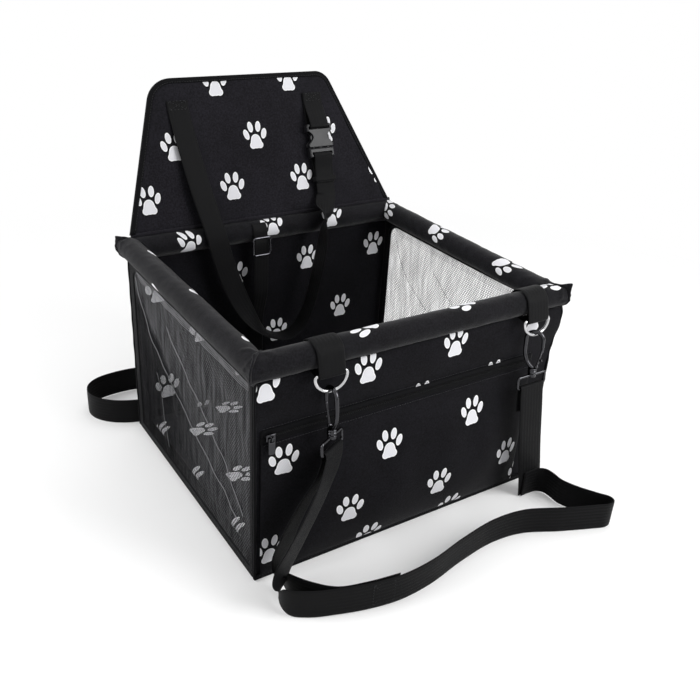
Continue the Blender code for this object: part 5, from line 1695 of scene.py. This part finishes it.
def make_pad():
    """The floor pad: a slack cushion, blown up as cloth from a slightly smaller slab."""
    half_x, half_y, slab_pitch, slab_edge = 0.1815, 0.1595, 0.012, 0.004
    slack, voxel, furthest, crown_height, clip_dent = 0.0008, 0.0060, 0.0045, 0.0012, 0.0016
    lying = Matrix(((1, 0, 0, 0), (0, 0, 1, 0), (0, 1, 0, 0), (0, 0, 0, 1)))
    slab = panel(-half_x, half_x, rows_between(-half_y, half_y, slab_pitch, slab_edge),
                 level(pad_low + 0.0010), level(pad_high - 0.0022), lying, slab_pitch, slab_edge)
    piece = mesh_piece("floor_cushion", slab, print_fabric)
    blow_up(piece, voxel, furthest)
    mesh = piece.data
    points = vertex_places(mesh)
    x, y, z = points.T
    crown = 1 - np.maximum(np.abs(x) / half_x, np.abs(y) / half_y) ** 4
    under_clip = bell(x - tether_x, 0.05) * bell(y - 0.075, 0.06)
    top = np.where(z > (pad_low + pad_high) / 2, 1.0, 0.0)
    z = z + top * slack * ripple(x, y, 31, 0.09) * np.clip(crown, 0, 1)
    points[:, 2] = np.clip(z, pad_low, pad_high + crown_height - clip_dent * under_clip)
    mesh.vertices.foreach_set("co", points.ravel())
    corners = np.zeros(len(mesh.loops), np.int32)
    mesh.loops.foreach_get("vertex_index", corners)
    flat = points[corners][:, :2]
    starts = np.zeros(len(mesh.polygons), np.int32)
    mesh.polygons.foreach_get("loop_start", starts)
    sides = np.diff(np.r_[starts, len(flat)])
    middle = np.add.reduceat(flat, starts, axis=0) / sides[:, None]
    centres = np.array([(-0.184 + 0.052 * row, y + (0.034 if row % 2 == 0 else 0.0)) for row in range(8)
                        for y in (-0.127, -0.018, 0.091)])
    away = flat - nearest_centres(middle, centres).repeat(sides, 0)
    for layer, values in (("cloth", flat), ("print", np.stack([-away[:, 1], away[:, 0]], 1))):
        found = mesh.uv_layers.get(layer) or mesh.uv_layers.new(name=layer)
        found.data.foreach_set("uv", values.ravel())
    mesh.update()
    mesh.shade_smooth()
    kept(piece, "box", "printed_fabric", "floor_pad")


def blow_up(piece, voxel, cap):
    """Remesh a piece, let cloth pressure fill it for twenty frames, and cap how far each point has moved."""
    scene = bpy.context.scene
    remesh = piece.modifiers.new("remesh", "REMESH")
    remesh.mode = "VOXEL"
    remesh.voxel_size = voxel
    bpy.context.view_layer.objects.active = piece
    piece.select_set(True)
    bpy.ops.object.modifier_apply(modifier=remesh.name)
    before = vertex_places(piece.data)
    cloth = piece.modifiers.new("cloth", "CLOTH")
    cloth.settings.use_pressure = True
    cloth.settings.uniform_pressure_force = 4.0
    cloth.settings.effector_weights.gravity = 0.0
    cloth.settings.quality = 5
    for step in range(1, 21):
        scene.frame_set(step)
    graph = bpy.context.evaluated_depsgraph_get()
    move = vertex_places(piece.evaluated_get(graph).data) - before
    piece.modifiers.remove(cloth)
    scene.frame_set(1)
    far = np.linalg.norm(move, axis=1, keepdims=True)
    move = move * np.minimum(1, cap / np.maximum(far, 1e-9))
    piece.data.vertices.foreach_set("co", (before + move).ravel())
    smooth = piece.modifiers.new("finer", "SUBSURF")
    smooth.levels = smooth.render_levels = 1
    bpy.ops.object.modifier_apply(modifier=smooth.name)
    piece.select_set(False)


def finish_hidden_parts():
    """The tubes and elbows inside the sleeves, and the board under the pad, get their own finishes."""
    for node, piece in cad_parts.items():
        finish = board_fabric if node == "base_board" else tube_finish
        if node.startswith(("rim_tube", "rim_elbow", "base_board")):
            piece.data.materials.clear()
            piece.data.materials.append(finish)


# Prints on each sleeve: along it, round it, and the turn of the print
quarter_turn = math.pi / 2
rim_prints = {"front": [(-0.0690, 0.0505, quarter_turn), (0.0560, 0.0520, quarter_turn),
                        (0.1790, 0.0500, quarter_turn)],
              "right": [(0.1584, 0.0553, quarter_turn), (0.0390, 0.0520, quarter_turn),
                        (-0.0954, 0.0505, quarter_turn), (0.0980, 0.0150, quarter_turn),
                        (-0.0280, 0.0150, quarter_turn)],
              "back": [(0.1250, 0.0640, math.pi), (0.0016, 0.0560, math.pi), (-0.0940, 0.0570, math.pi),
                       (0.0600, 0.0150, 0.0), (-0.0500, 0.0150, 0.0)],
              "left": [(-0.1166, 0.0640, quarter_turn), (0.0100, 0.0630, quarter_turn),
                       (0.1347, 0.0640, quarter_turn), (-0.0500, 0.0040, quarter_turn)]}
make_pad()
make_walls()
make_side("left", -1, left_net_fabric, 41)
make_side("right", 1, right_net_fabric, 43)
for quarter, (name, prints) in enumerate(rim_prints.items()):
    half_length, reach = (rim_x, rim_y) if quarter % 2 == 0 else (rim_y, rim_x)
    make_sleeve(name, half_length, reach, quarter, prints, 51 + quarter)
make_corner("front_left", -1, -1, 1.35, 0.0030, 61)
make_corner("front_right", 1, -1, 0.85, 0.0070, 62)
make_corner("back_right", 1, 1, 0.9, 0.0025, 63)
make_corner("back_left", -1, 1, 0.8, 0.0045, 64)
make_pocket()
make_hems()
make_zip()
make_front_stitches()
make_flap()
finish_hidden_parts()


# Floor, world and lamps

def make_floor():
    """A plain pale floor that keeps the shadow and fades to white further off."""
    made, tree, shader = new_material("floor", 0.9, specular=0.2)
    shader.inputs["Base Color"].default_value = (0.80, 0.80, 0.80, 1.0)
    glow = tree.nodes.new("ShaderNodeEmission")
    paths = tree.nodes.new("ShaderNodeLightPath")
    spot = tree.nodes.new("ShaderNodeTexCoord")
    split = tree.nodes.new("ShaderNodeSeparateXYZ")
    tree.links.new(spot.outputs["Object"], split.inputs[0])
    far = Term(tree, split.outputs["X"]).length(Term(tree, split.outputs["Y"])).step(0.45, 1.10)
    camera_sees = Term(tree, paths.outputs["Is Camera Ray"])
    (camera_sees * (far * 0.84 + 0.16)).into(glow.inputs["Strength"])
    hide = tree.nodes.new("ShaderNodeMixShader")
    blank = tree.nodes.new("ShaderNodeEmission")
    blank.inputs["Strength"].default_value = 0.0
    (camera_sees * far).into(hide.inputs[0])
    tree.links.new(shader.outputs[0], hide.inputs[1])
    tree.links.new(blank.outputs[0], hide.inputs[2])
    add = tree.nodes.new("ShaderNodeAddShader")
    tree.links.new(hide.outputs[0], add.inputs[0])
    tree.links.new(glow.outputs[0], add.inputs[1])
    tree.links.new(add.outputs[0], tree.nodes["Material Output"].inputs["Surface"])
    mesh = bpy.data.meshes.new("floor")
    size, height = 6.0, -0.0004
    mesh.from_pydata([(x * size, y * size, height) for x, y in ((-1, -1), (1, -1), (1, 1), (-1, 1))], [],
                     [(0, 1, 2, 3)])
    mesh.materials.append(made)
    linked("floor", mesh)


def make_world():
    """A white world, brighter for the camera and for reflections than as light."""
    world = bpy.data.worlds.new("studio")
    world.use_nodes = True
    bpy.context.scene.world = world
    tree = world.node_tree
    plain, bright = tree.nodes["Background"], tree.nodes.new("ShaderNodeBackground")
    for background, strength in ((plain, 0.45), (bright, 1.0)):
        background.inputs["Color"].default_value = (1.0, 1.0, 1.0, 1.0)
        background.inputs["Strength"].default_value = strength
    paths = tree.nodes.new("ShaderNodeLightPath")
    seen = Term(tree, paths.outputs["Is Camera Ray"])
    for ray in ("Is Glossy Ray", "Is Transmission Ray"):
        seen = seen.do("MAXIMUM", Term(tree, paths.outputs[ray]))
    mix = tree.nodes.new("ShaderNodeMixShader")
    seen.into(mix.inputs[0])
    tree.links.new(plain.outputs[0], mix.inputs[1])
    tree.links.new(bright.outputs[0], mix.inputs[2])
    tree.links.new(mix.outputs[0], tree.nodes["World Output"].inputs["Surface"])


def make_lamps():
    """Three soft lamps, all aimed at the middle of the seat."""
    for name, place, power, size in (("side", (-1.7, 0.55, 0.95), 26.0, 1.1),
                                     ("front", (0.85, -1.15, 0.95), 20.0, 0.9),
                                     ("top", (0.3, 0.2, 2.0), 12.0, 1.5)):
        lamp = bpy.data.lights.new(name, "AREA")
        lamp.energy = power
        lamp.size = size
        holder = linked(name, lamp)
        holder.location = place
        aim = Vector((0.0, 0.0, 0.15)) - Vector(place)
        holder.rotation_mode = "QUATERNION"
        holder.rotation_quaternion = aim.to_track_quat("-Z", "Y")


make_floor()
make_world()
make_lamps()
bpy.context.scene.view_settings.view_transform = "Standard"
